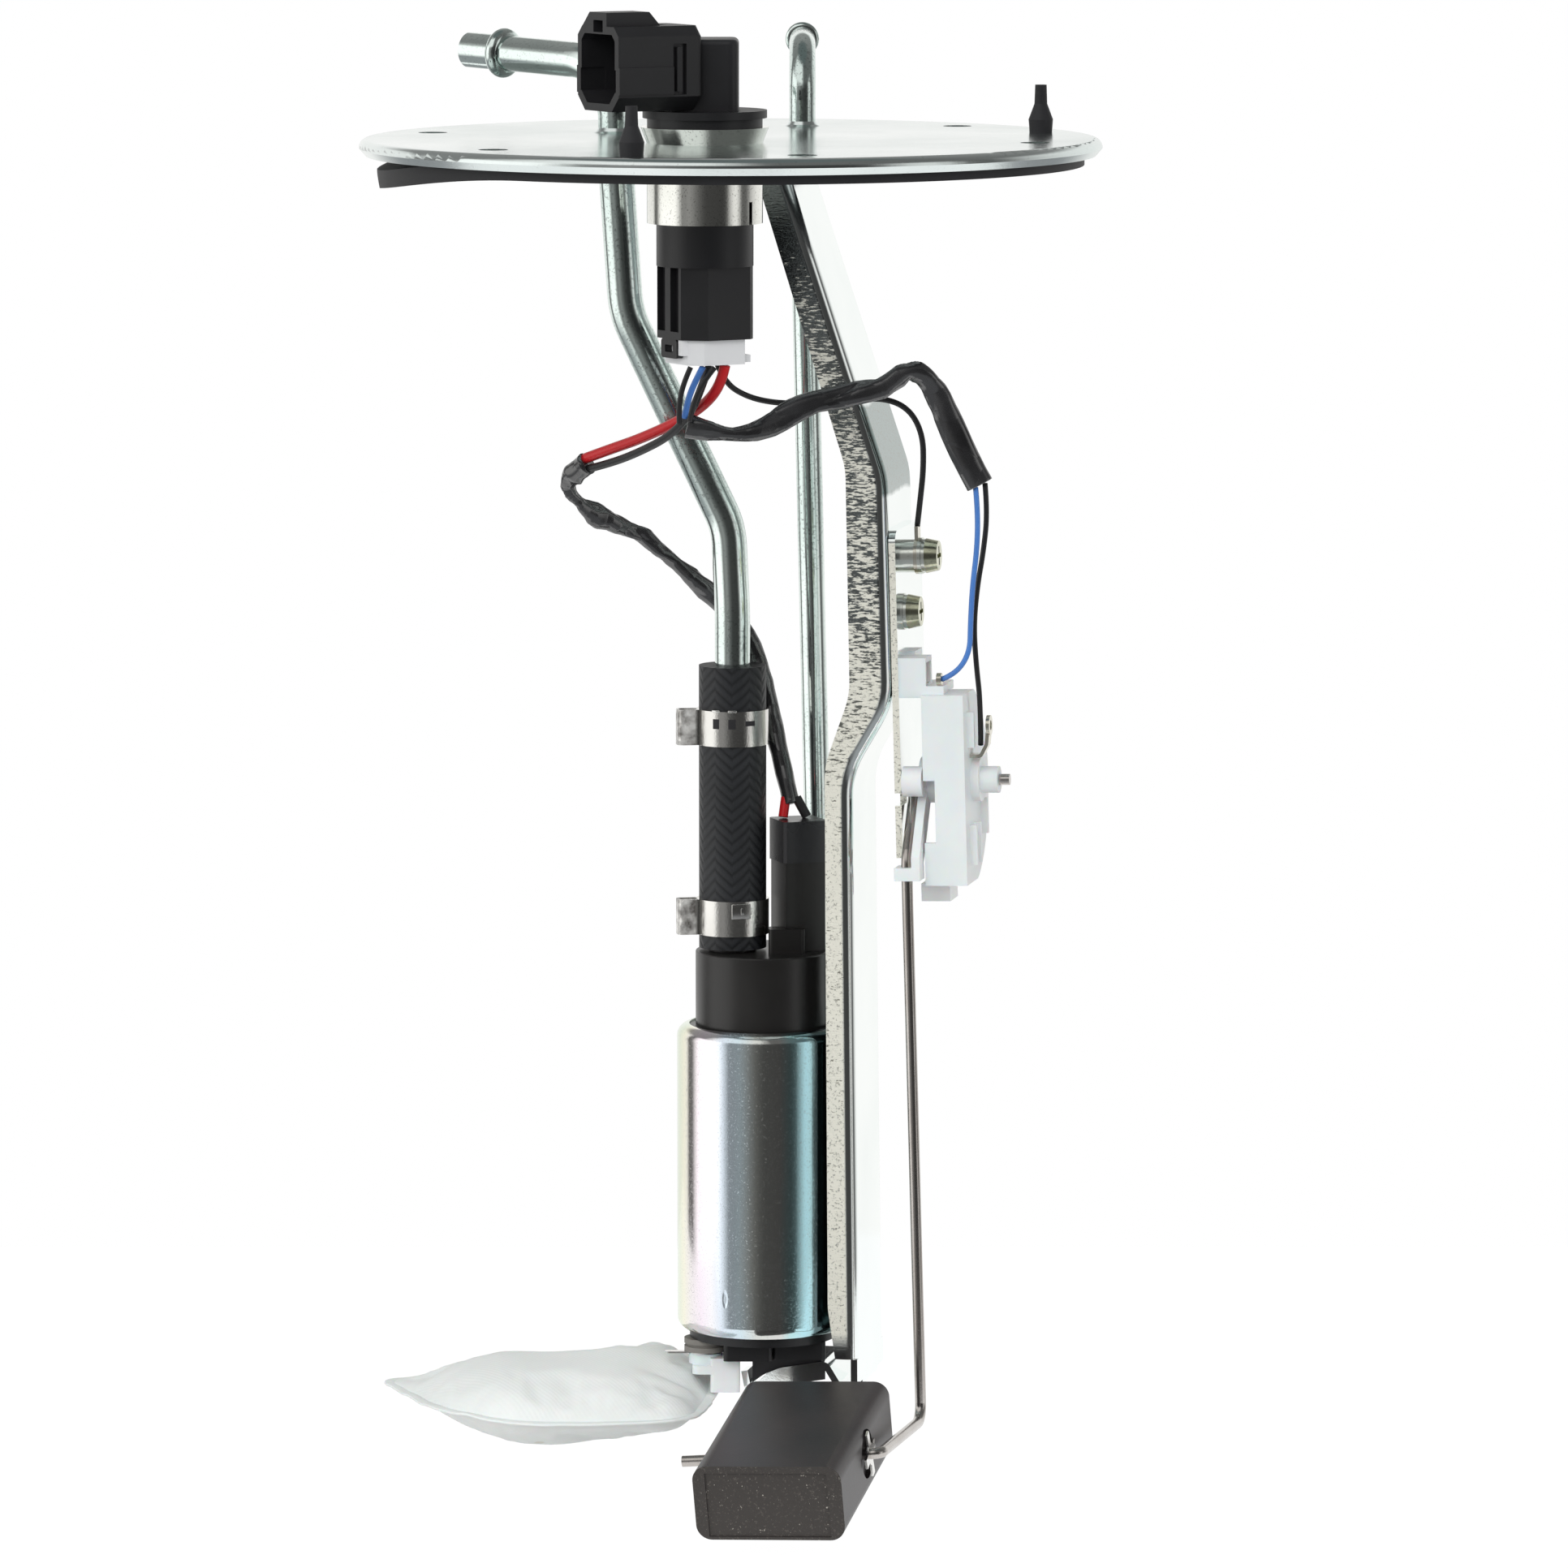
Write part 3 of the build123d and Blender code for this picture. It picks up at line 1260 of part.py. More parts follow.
inlet_x, inlet_y = -6.0, 12.0
inlet_r = 2.5
inlet_lip = can_bottom - 1.8
grommet_dia = 9.7
grommet_top = inlet_lip
grommet_bottom = inlet_lip - 3.0
nut_thick = 0.4
neck_top = grommet_bottom - nut_thick
block_bottom = can_bottom - 5.8
with BuildPart() as inlet_cap:
    with BuildSketch(pump_plane(can_bottom + can_shoulder)):
        Circle(seat_r)
    extrude(amount=chamber_z - chamber_depth - can_bottom - can_shoulder)
    with BuildSketch(pump_plane(inlet_lip)):
        Circle(mouth_r - fit_gap)
    extrude(amount=can_bottom + can_shoulder - inlet_lip)
    with BuildSketch(pump_plane(inlet_lip)):
        with Locations((-3.4, -4.0)):
            RectangleRounded(11.0, 16.0, 1.0)
        with Locations((8.2, 0)):
            RectangleRounded(12.0, 20.0, 1.0)
    extrude(amount=block_bottom - inlet_lip)
    with BuildSketch(at(inlet_x, inlet_y, inlet_lip)):
        Circle(inlet_r)
    extrude(amount=neck_top - 2.4 - inlet_lip)
    with BuildSketch(at(inlet_x, inlet_y, neck_top - 2.4)):
        Circle(inlet_r - 0.9)
    extrude(amount=chamber_z - neck_top, mode=Mode.SUBTRACT)
    with BuildSketch(pump_plane(shaft_base)):
        Circle(shaft_dia / 2 + fit_gap)
    extrude(amount=can_length / 2, mode=Mode.SUBTRACT)
save(inlet_cap.part, "inlet_cap")

with BuildPart() as inlet_grommet:
    with BuildSketch(at(inlet_x, inlet_y, grommet_bottom)):
        Circle(grommet_dia / 2)
        Circle(inlet_r, mode=Mode.SUBTRACT)
    extrude(amount=grommet_top - grommet_bottom)
    with BuildSketch(at(inlet_x, inlet_y, grommet_bottom + 1.2)):
        Circle(grommet_dia / 2)
        Circle(grommet_dia / 2 - 0.5, mode=Mode.SUBTRACT)
    extrude(amount=0.6, mode=Mode.SUBTRACT)
    with BuildSketch(pump_plane(inlet_lip)):
        with Locations((-3.4, -4.0)):
            RectangleRounded(11.0 + 2 * fit_gap, 16.0 + 2 * fit_gap, 1.0)
    extrude(amount=block_bottom - inlet_lip, mode=Mode.SUBTRACT)
save(inlet_grommet.part, "inlet_grommet")

with BuildPart() as strainer_retainer:
    with BuildSketch(at(inlet_x, inlet_y, neck_top)):
        Circle(3.9)
        with Locations((-6.0, -1.0)):
            SlotOverall(6.6, 2.0)
        Circle(inlet_r, mode=Mode.SUBTRACT)
    extrude(amount=nut_thick)
save(strainer_retainer.part, "strainer_retainer")

# ------------------------------------------------------------------ pump: electrical plug, seat and isolator
plug_skirt_top = elec_top + 9.4
with BuildPart() as pump_plug:
    with BuildSketch(elec_plane(elec_top + fit_gap)):
        Rectangle(elec_width + 0.9, elec_depth + 0.7)
        chamfer(vertices(), 0.6)
    extrude(amount=plug_skirt_top - elec_top)
    with BuildSketch(elec_plane(elec_top - 6.0)):
        Rectangle(elec_width - 2 * elec_wall - 2 * fit_gap, elec_depth - 2 * elec_wall - 2 * fit_gap)
        with Locations((-1.8, 0), (1.8, 0)):
            Rectangle(0.8, 2.4, mode=Mode.SUBTRACT)
    extrude(amount=6.0 + 2 * fit_gap)
save(pump_plug.part, "pump_plug")

with BuildPart() as pump_terminals:
    with BuildSketch(elec_plane(elec_top - 13.0)):
        with Locations((-1.8, 0), (1.8, 0)):
            Rectangle(0.7, 2.3)
    extrude(amount=12.0)
save(pump_terminals.part, "pump_terminals")


def foot_top(a):
    """Height of the foot's upper face at a along N."""
    (a1, z1), (a2, z2), (a3, z3) = foot_line[3], foot_line[4], foot_line[5]
    near = (a1, z1, a2, z2) if a > a2 else (a2, z2, a3, z3)
    slope = (near[3] - near[1]) / (near[2] - near[0])
    return near[1] + slope * (a - near[0]) + sheet / 2 * sqrt(1 + slope ** 2)


with BuildPart() as pump_isolator:
    pad_left, pad_right = 2.4, 18.4
    pad_peak, pad_knee = foot_line[4][0], foot_line[5][0]
    with BuildSketch(across(foot_b + 1.0)):
        with BuildLine():
            Polyline(
                (pad_left, block_bottom),
                (pad_right, block_bottom),
                (pad_right, foot_top(pad_right) + 0.02),
                (pad_peak, foot_top(pad_peak) + 0.02),
                (pad_knee, foot_top(pad_knee) + 0.02),
                (pad_knee - 1.6, foot_top(pad_knee) - 0.9),
                (pad_left, foot_top(pad_knee) - 2.6),
                close=True,
            )
        make_face()
    extrude(amount=-(foot_width - 2.0))
save(pump_isolator.part, "pump_isolator")

# ------------------------------------------------------------------ hose and its clamps
with BuildPart() as fuel_hose:
    with BuildSketch(at(barb_x, pump_y, hose_bottom)):
        Circle(hose_r)
        Circle(hose_bore / 2, mode=Mode.SUBTRACT)
    extrude(amount=hose_top - hose_bottom)
save(fuel_hose.part, "fuel_hose")

ear_angle = 190.0
ear_length, ear_width = 4.6, 4.4
band_r = hose_r + clamp_sheet + 0.1
ear_hollow = ear_length - clamp_sheet - 0.1
with BuildPart() as hose_clamps:
    for height in clamp_heights:
        with BuildSketch(at(barb_x, pump_y, height - clamp_width / 2)):
            Circle(hose_r + clamp_sheet)
            with PolarLocations(hose_r + clamp_sheet + ear_length / 2 - 0.6, 1, ear_angle):
                RectangleRounded(ear_length + 1.2, ear_width, 1.4)
            with PolarLocations(band_r + ear_hollow / 2, 1, ear_angle):
                RectangleRounded(ear_hollow, ear_width - 2 * clamp_sheet, 0.9, mode=Mode.SUBTRACT)
            Circle(hose_r, mode=Mode.SUBTRACT)
        extrude(amount=clamp_width)
save(hose_clamps.part, "hose_clamps")

# ------------------------------------------------------------------ strainer
bag_corners = [(-79.0, 27.0), (-50.0, -15.0), (-9.0, -12.0), (-6.0, 18.0), (-14.0, 36.0)]
bag_top, bag_bottom = -278.5, -289.5
bag_round = 4.6
with BuildPart() as strainer_bag:
    with BuildSketch(Plane.XY.offset(bag_bottom)):
        with BuildLine():
            Polyline(*bag_corners, close=True)
        make_face()
        fillet(vertices(), 5.0)
    extrude(amount=bag_top - bag_bottom)
    fillet(strainer_bag.edges().group_by(Axis.Z)[0] + strainer_bag.edges().group_by(Axis.Z)[-1], bag_round)
save(strainer_bag.part, "strainer_bag")

neck_ring = 2.4
with BuildPart() as strainer_neck:
    with BuildSketch(at(inlet_x, inlet_y, neck_top - neck_ring)):
        Circle(3.8)
        Circle(inlet_r + fit_gap, mode=Mode.SUBTRACT)
    extrude(amount=neck_ring)
    with BuildSketch(at(inlet_x, inlet_y, neck_top - neck_ring)):
        with Locations((2.4, 0)):
            RectangleRounded(10.8, 10.6, 1.6)
    extrude(amount=bag_top - neck_top + neck_ring)
    with BuildSketch(at(inlet_x, inlet_y, neck_top - neck_ring)):
        RectangleRounded(5.0, 7.0, 1.4)
    extrude(amount=-2.0, mode=Mode.SUBTRACT)
    with BuildSketch(at(inlet_x, inlet_y, block_bottom - fit_gap)):
        with Locations((4.45, 0)):
            RectangleRounded(6.7, 10.6, 0.8)
        Circle(inlet_r + fit_gap, mode=Mode.SUBTRACT)
    extrude(amount=-7.8)
    add(strainer_bag.part, mode=Mode.SUBTRACT)
save(strainer_neck.part, "strainer_neck")

# ------------------------------------------------------------------ leads and sleeves
plug_face = shroud_bottom - plug_overhang - 0.3
lead_dia, sleeve_dia = 2.4, 5.0
blue_dia, sender_lead_dia, ground_dia = 2.2, 2.0, 1.6
plug_lead_dia = 2.2
blue_end = sender_point(9.8, front + 0.8, body_top + 3.4)
lug_top = sender_point(17.2, tab_b, 8.2)
screw_h = (screw_heights[0] - pivot_z) / cos(lean_angle)
ground_end = sender_point(spacer_length + terminal_thickness / 2, screw_b - pivot_b, screw_h + 6.75)

red_route = [
    (-1.2, -22, plug_face), (-2.0, -21.5, -51.0), (-5.8, -18, -56.2), (-12.3, -11, -60.6),
    (-20.4, -3, -64.9), (-27.4, 4, -67.9), (-32.8, 8.8, -70.3),
]
black_route = [
    (-4.6, -22.5, plug_face), (-6.4, -22.2, -51.8), (-8.6, -19.2, -57.6), (-13.4, -13.0, -63.3),
    (-20.0, -5.4, -67.4), (-26.4, 2.2, -70.6), (-31.9, 7.9, -72.5),
]
pump_sleeve_route = [
    (-32.4, 8.4, -71.4), (-35.7, 11.5, -73.9), (-36.4, 14.5, -77.8), (-33.5, 17, -81.5), (-28.1, 20, -85.1),
    (-21.2, 22.5, -88.8), (-14.3, 24.5, -94.0), (-7.7, 25.5, -99.6), (-1.6, 25.5, -105.6), (3.3, 25, -112.7),
    (6.7, 24, -121.5), (8.9, 22, -130.5), (11.1, 19.5, -139.4), (13.1, 17.5, -147.1),
]
sender_sleeve_route = [
    (-9.4, -22.0, -60.0), (-3.6, -22.5, -61.5), (2.7, -21.5, -62.0), (8.6, -20, -60.6), (14.7, -18.5, -57.5),
    (21.8, -17, -55.3), (29.0, -15, -53.4), (35.5, -13.5, -50.6), (40.6, -12.2, -49.9), (45.2, -11, -53.9),
    (48.9, -11, -61.4), (52.1, -11, -68.5), (55.2, -11, -74.3),
]
blue_route = [
    (54.3, -11, -74.9), (54.8, -11, -80.2), (54.7, -10.5, -88.4), (53.7, -9.5, -97.1),
    (53.3, -8.5, -105.5), (53.2, -7.4, -112.2), (50.2, -6.6, -117.0), tuple(blue_end),
]
sender_lead_route = [
    (56.4, -10.6, -74.1), (57.0, -8.9, -80.7), (56.2, -7.7, -89.3), (54.8, -6.5, -97.7),
    (54.1, -5.5, -106.6), (54.7, -4.5, -115.4), (55.7, -3.5, -123.9), tuple(lug_top),
]
ground_route = [
    (-2.9, -18.6, plug_face), (-1.3, -17.6, -51.1), (3.5, -15, -54.4), (9.8, -12, -56.1),
    (17.9, -9, -56.4), (26.2, -7.5, -56.0), (33.8, -6.5, -55.3), (39.6, -5.5, -57.8),
    (42.7, -4, -63.7), (42.9, -2.4, -71.4), (42.2, -0.6, -78.6), tuple(ground_end),
]
blue_tail = [(-6.0, -25.6, plug_face), (-8.4, -24.8, -51.4), (-9.7, -23.4, -56.0), (-10.1, -22.3, -58.4)]
black_tails = [
    [(-8.7, -26.8, plug_face), (-10.4, -27.0, -50.6), (-11.4, -26.3, -55.9), (-11.2, -24.8, -59.6)],
    [(-3.4, -27.6, plug_face), (-6.4, -27.8, -50.6), (-8.4, -27.0, -55.9), (-8.9, -25.5, -58.9)],
]
red_plug_lead = [(12.2, 17.0, -147.9), (11.6, 16.0, plug_skirt_top + fit_gap + 0.35)]
black_plug_lead = [(14.6, 17.0, -147.9), (17.0, 16.4, plug_skirt_top + fit_gap + 0.35)]


def corner_radii(points):
    """Largest arcs that neighbouring straight runs leave room for."""
    spots = [Vector(*p) for p in points]
    radii = []
    for before, corner, after in zip(spots, spots[1:], spots[2:]):
        run_in, run_out = corner - before, after - corner
        half_turn = radians(run_in.get_angle(run_out)) / 2
        radii.append(0.45 * min(run_in.length, run_out.length) / tan(half_turn))
    return radii


def cord_solid(name, points, dia):
    """Plain round tube along straight runs and tangent arcs."""
    radii = corner_radii(points)
    with BuildPart() as cord:
        with BuildLine() as run:
            if radii:
                FilletPolyline(*points, radius=radii)
            else:
                Line(*points)
        with BuildSketch(Plane(origin=run.line @ 0, z_dir=run.line % 0)):
            Circle(dia / 2)
        sweep(path=run.line)
    run_length = sum(edge.length for edge in run.edges())
    expected = pi * dia ** 2 / 4 * run_length
    print(name, "length", round(run_length, 1), "radii", [round(r, 1) for r in radii],
          "volume ratio", round(cord.part.volume / expected, 4))
    return cord.part


cords = {
    "red_lead": ([red_route], lead_dia),
    "black_lead": ([black_route], lead_dia),
    "pump_sleeve": ([pump_sleeve_route], sleeve_dia),
    "sender_sleeve": ([sender_sleeve_route], sleeve_dia),
    "blue_lead": ([blue_route], blue_dia),
    "sender_lead": ([sender_lead_route], sender_lead_dia),
    "ground_lead": ([ground_route], ground_dia),
    "blue_tail": ([blue_tail], blue_dia),
    "black_tails": (black_tails, sender_lead_dia),
    "plug_lead_red": ([red_plug_lead], plug_lead_dia),
    "plug_lead_black": ([black_plug_lead], plug_lead_dia),
}
for name, (routes, dia) in cords.items():
    solids = [cord_solid(name, route, dia) for route in routes]
    whole = solids[0] if len(solids) == 1 else Compound(children=solids)
    save(whole, name)

with BuildPart() as blue_crimp:
    with BuildSketch(Plane(origin=sender_point(8.65, front + 0.8, body_top + 3.4), x_dir=U, z_dir=NS)):
        Circle(1.4)
    extrude(amount=1.1)
save(blue_crimp.part, "blue_crimp")
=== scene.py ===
import math

import bmesh
import bpy
from mathutils import Matrix, Vector, noise


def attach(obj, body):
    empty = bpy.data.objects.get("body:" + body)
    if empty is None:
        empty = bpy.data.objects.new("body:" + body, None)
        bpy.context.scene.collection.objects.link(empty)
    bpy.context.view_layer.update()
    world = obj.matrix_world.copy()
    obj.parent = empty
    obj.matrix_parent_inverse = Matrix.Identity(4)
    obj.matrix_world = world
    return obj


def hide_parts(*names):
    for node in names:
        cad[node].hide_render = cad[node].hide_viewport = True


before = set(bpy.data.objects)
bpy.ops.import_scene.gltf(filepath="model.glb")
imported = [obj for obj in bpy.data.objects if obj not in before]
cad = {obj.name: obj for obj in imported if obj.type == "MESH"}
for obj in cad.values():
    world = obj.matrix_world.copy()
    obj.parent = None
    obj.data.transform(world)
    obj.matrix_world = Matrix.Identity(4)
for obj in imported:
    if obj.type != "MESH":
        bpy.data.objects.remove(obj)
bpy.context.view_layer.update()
print("frame loaded:", len(cad), "nodes")

cameraView = {"x": 0.0118, "z": -0.14266, "distance": 2.0, "elevation": 7.3}
lensLook = {"lens": 204.97, "sensor_width": 36, "clip_end": 50}


def setAll(owner, values):
    for key, value in values.items():
        setattr(owner, key, value)


def addObject(name, data):
    added = bpy.data.objects.new(name, data)
    bpy.context.scene.collection.objects.link(added)
    return added


lensData = bpy.data.cameras.new("camera")
setAll(lensData, lensLook)
camera = addObject("camera", lensData)
tilt = math.radians(cameraView["elevation"])
camera.location = (
    cameraView["x"],
    -cameraView["distance"] * math.cos(tilt),
    cameraView["z"] + cameraView["distance"] * math.sin(tilt),
)
camera.rotation_euler = (math.pi / 2 - tilt, 0, 0)
bpy.context.scene.camera = camera


def inMetres(points):
    return [Vector(point) / 1000 for point in points]


def routeLine(name, route, thickness=0.0, steps=12, sides=6):
    # smooth open line through a route; a thickness gives it a round skin
    line = bpy.data.curves.new(name, "CURVE")
    line.dimensions = "3D"
    line.resolution_u = steps
    spline = line.splines.new("NURBS")
    spline.points.add(len(route) - 1)
    for point, place in zip(spline.points, route):
        point.co = (*place, 1)
    spline.order_u = 3
    spline.use_endpoint_u = True
    line.bevel_depth = thickness / 2
    line.bevel_resolution = sides
    line.use_fill_caps = True
    return addObject(name, line)


# single leads: the node that each stands for, its thickness and length, and its route in millimetres
leads = {
    "redLead": {
        "node": "red_lead", "thick": 0.0024, "long": 0.0515,
        "route": [
            (-1.2, -22.0, -46.9), (-2.0, -21.5, -51.0), (-5.8, -18.0, -56.2), (-12.3, -11.0, -60.6),
            (-20.4, -3.0, -64.9), (-27.4, 4.0, -67.9), (-32.8, 8.8, -70.3),
        ],
    },
    "blackLead": {
        "node": "black_lead", "thick": 0.0018, "long": 0.0505,
        "route": [
            (-4.6, -22.5, -46.9), (-6.4, -22.2, -51.8), (-8.6, -19.2, -57.6), (-13.4, -13.0, -63.3),
            (-20.0, -5.4, -67.4), (-26.4, 2.2, -70.6), (-31.9, 7.9, -72.5),
        ],
    },
    "blueLead": {
        "node": "blue_lead", "thick": 0.0012, "long": 0.047,
        "route": [
            (54.3, -11.0, -74.9), (54.8, -11.0, -80.2), (54.7, -10.5, -88.4), (53.7, -9.5, -97.1),
            (53.3, -8.5, -105.5), (53.2, -7.4, -112.2), (50.2, -6.6, -117.0), (47.103, -4.082, -118.536),
        ],
    },
    "senderLead": {
        "node": "sender_lead", "thick": 0.0012, "long": 0.0605,
        "route": [
            (56.4, -10.6, -74.1), (57.0, -8.9, -80.7), (56.2, -7.7, -89.3), (54.8, -6.5, -97.7),
            (54.1, -5.5, -106.6), (54.7, -4.5, -115.4), (55.7, -3.5, -123.9), (55.84, -0.623, -133.723),
        ],
    },
    "groundLead": {
        "node": "ground_lead", "thick": 0.0013, "long": 0.077,
        "route": [
            (-2.9, -18.6, -46.9), (-1.3, -17.6, -51.1), (3.5, -15.0, -54.4), (9.8, -12.0, -56.1),
            (17.9, -9.0, -56.4), (26.2, -7.5, -56.0), (33.8, -6.5, -55.3), (39.6, -5.5, -57.8),
            (42.7, -4.0, -63.7), (42.9, -2.4, -71.4), (42.2, -0.6, -78.6), (41.585, 2.407, -84.741),
        ],
    },
}
endCorners = 8  # a face with more corners than this is the flat end of a tube
made = {}


def tubeAlong(name, route, thickness, **fineness):
    # round tube with closed ends along a route, and the points of its smooth centre line
    centre = routeLine(name + "Centre", route)
    path = [vertex.co.copy() for vertex in bpy.data.meshes.new_from_object(centre).vertices]
    skin = routeLine(name + "Skin", route, thickness, **fineness)
    mesh = bpy.data.meshes.new_from_object(skin)
    mesh.name = name
    for spare in (centre, skin):
        bpy.data.objects.remove(spare)
    bm = bmesh.new()
    bm.from_mesh(mesh)
    bmesh.ops.remove_doubles(bm, verts=bm.verts, dist=1e-6)
    bmesh.ops.recalc_face_normals(bm, faces=bm.faces)
    return bm, mesh, path


def placeMesh(name, bm, mesh):
    bm.to_mesh(mesh)
    bm.free()
    for face in mesh.polygons:
        face.use_smooth = len(face.vertices) < endCorners
    piece = addObject(name, mesh)
    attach(piece, "hanger")
    return piece


for name, lead in leads.items():
    route = inMetres(lead["route"])
    bm, mesh, path = tubeAlong(name, route, lead["thick"])
    piece = placeMesh(name, bm, mesh)
    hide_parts(lead["node"])
    made[name] = piece
# short ends of the wires that leave the connector and go into the sender sleeve
tails = {
    "blueTail": {
        "node": "blue_tail", "thick": 0.0014,
        "routes": [[(-6.0, -25.6, -46.9), (-8.4, -24.8, -51.4), (-9.7, -23.4, -56.0), (-10.1, -22.3, -58.4)]],
    },
    "blackTails": {
        "node": "black_tails", "thick": 0.0012,
        "routes": [
            [(-8.7, -26.8, -46.9), (-10.4, -27.0, -50.6), (-11.4, -26.3, -55.9), (-11.2, -24.8, -59.6)],
            [(-3.4, -27.6, -46.9), (-6.4, -27.8, -50.6), (-8.4, -27.0, -55.9), (-8.9, -25.5, -58.9)],
        ],
    },
}
for name, look in tails.items():
    joined = bmesh.new()
    for route in look["routes"]:
        bm, mesh, path = tubeAlong(name, inMetres(route), look["thick"])
        bm.to_mesh(mesh)
        bm.free()
        joined.from_mesh(mesh)
    piece = placeMesh(name, joined, bpy.data.meshes.new(name))
    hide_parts(look["node"])
    made[name] = piece
print("leads run:", len(leads), "tails:", len(tails))


def graded(stops, place):
    # straight-line reading of a short list of (place, value) stops
    if place <= stops[0][0]:
        return stops[0][1]
    for (low, before), (high, after) in zip(stops, stops[1:]):
        if place <= high:
            return before + (after - before) * (place - low) / (high - low)
    return stops[-1][1]


def foldHeight(row, column, count, seed):
    # height of a crumpled sheet of flat triangles: rows of knots, every second row half a step over
    first = math.floor(row)
    part = row - first
    column -= 0.5 * (first % 2)

    def knot(step, index):
        return noise.cell(Vector((step + 0.5, index % count + 0.5, seed + 0.5)))

    over = 0 if first % 2 == 0 else 1
    start = math.floor(column - part / 2)
    local = column - part / 2 - start
    here, there = knot(first, start), knot(first, start + 1)
    nextHere, nextThere = knot(first + 1, start + over), knot(first + 1, start + 1 + over)
    rising = here + (nextHere - here) * part
    falling = there + (nextHere - there) * part
    if local < 1 - part:
        return rising + (falling - rising) * local / (1 - part)
    last = there + (nextThere - there) * part
    return falling + (last - falling) * (local - 1 + part) / part


foldMiddle = 0.45  # the folds' heights count from here
pastEnds = 0.5  # how far past a step's ends a point still belongs to it, as a share of the step


def sleeveTube(name, look):
    # thin vinyl sleeve: flattened, creased into flat folds, and open at both ends
    route = inMetres(look["route"])
    bm, mesh, path = tubeAlong(name, route, look["thick"], steps=30, sides=12)
    run = [0.0]
    for before, after in zip(path, path[1:]):
        run.append(run[-1] + (after - before).length)
    for end in [face for face in bm.faces if len(face.verts) > endCorners]:
        bmesh.ops.inset_region(bm, faces=[end], thickness=look["wall"])
        bmesh.ops.inset_region(bm, faces=[end], thickness=look["lip"], depth=-look["mouth"])
    for vertex in bm.verts:
        nearest = min(
            range(len(path) - 1), key=lambda i: (path[i] + path[i + 1] - 2 * vertex.co).length_squared
        )
        step = path[nearest + 1] - path[nearest]
        along = (vertex.co - path[nearest]).dot(step) / step.length_squared
        along = max(-pastEnds, min(1 + pastEnds, along))
        foot = path[nearest] + step * along
        away = vertex.co - foot
        if away.length < 1e-7:
            continue
        place = (run[nearest] + step.length * along) * 1000
        direction = step.normalized()
        across = direction.cross(Vector((0, 1, 0))).normalized()
        deep = direction.cross(across)
        turn = math.atan2(away.dot(deep), away.dot(across))
        wide, thin = graded(look["wide"], place), graded(look["thin"], place)
        crease = 0.0
        for fold in look["folds"]:
            strength = graded(fold["strength"], place)
            if strength:
                twisted = turn / (2 * math.pi) * fold["count"] + place * fold["twist"]
                height = foldHeight(place / fold["pitch"], twisted, fold["count"], fold["seed"])
                crease += strength * (height - foldMiddle)
        swell = 1 + crease
        vertex.co = foot + across * away.dot(across) * wide * swell + deep * away.dot(deep) * thin * swell
    sleeve = placeMesh(name, bm, mesh)
    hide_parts(look["node"])
    return sleeve


# routes are in millimetres; wide, thin and strength are read by the millimetres along the sleeve
sleeves = {
    "pumpSleeve": {
        "node": "pump_sleeve", "thick": 0.005, "long": 0.1,
        "wall": 0.0004, "lip": 0.00002, "mouth": 0.004,
        "with": ["plug_lead_red", "plug_lead_black"],
        "route": [
            (-32.4, 8.4, -71.4), (-35.7, 11.5, -73.9), (-36.4, 14.5, -77.8), (-33.5, 17.0, -81.5),
            (-28.1, 20.0, -85.1), (-21.2, 22.5, -88.8), (-14.3, 24.5, -94.0), (-7.7, 25.5, -99.6),
            (-1.6, 25.5, -105.6), (3.3, 25.0, -112.7), (6.7, 24.0, -121.5), (8.9, 22.0, -130.5),
            (11.1, 19.5, -139.4), (13.5, 17.1, -149.3),
        ],
        "wide": [(0, 1.05), (3, 1.06), (9, 1.16), (30, 1.12), (70, 1.1), (100, 0.8)],
        "thin": [(0, 0.95), (6, 0.86), (14, 0.78), (60, 0.8), (100, 0.8)],
        "folds": [
            {"pitch": 4.6, "count": 4, "twist": 0.02, "seed": 3,
             "strength": [(0, 0.0), (3, 0.15), (7, 0.6), (30, 0.5), (52, 0.24), (80, 0.12), (96, 0.05)]},
            {"pitch": 2.1, "count": 7, "twist": 0.05, "seed": 9,
             "strength": [(0, 0.0), (5, 0.12), (26, 0.14), (45, 0.05), (96, 0.03)]},
        ],
    },
    "senderSleeve": {
        "node": "sender_sleeve", "thick": 0.005, "long": 0.081,
        "wall": 0.0004, "lip": 0.00002, "mouth": 0.004, "with": [],
        "route": [
            (-9.4, -22.0, -60.0), (-3.6, -22.5, -61.5), (2.7, -21.5, -62.0), (8.6, -20.0, -60.6),
            (14.7, -18.5, -57.5), (21.8, -17.0, -55.3), (29.0, -15.0, -53.4), (35.5, -13.5, -50.6),
            (41.0, -12.2, -48.2), (45.6, -11.0, -54.2), (48.9, -11.0, -61.4), (52.1, -11.0, -68.5),
            (55.2, -11.0, -74.3),
        ],
        "wide": [
            (0, 1.3), (3, 1.25), (8, 0.95), (14, 1.05), (19, 1.36), (44, 1.42), (50, 1.3), (52, 1.02),
            (54, 1.36), (58, 1.15), (62, 1.3), (82, 1.3),
        ],
        "thin": [(0, 0.8), (8, 0.95), (14, 0.9), (20, 0.7), (46, 0.7), (54, 0.8), (82, 0.78)],
        "folds": [
            {"pitch": 15.0, "count": 3, "twist": 0.01, "seed": 5,
             "strength": [(0, 0.1), (6, 0.4), (20, 0.42), (48, 0.42), (56, 0.4), (62, 0.12), (82, 0.08)]},
            {"pitch": 5.0, "count": 4, "twist": 0.03, "seed": 11,
             "strength": [
                 (0, 0.08), (6, 0.3), (16, 0.18), (24, 0.06), (42, 0.1), (50, 0.4), (58, 0.3), (66, 0.04),
                 (82, 0.03),
             ]},
        ],
    },
}
for name, look in sleeves.items():
    made[name] = sleeveTube(name, look)
print("sleeves drawn:", len(sleeves))

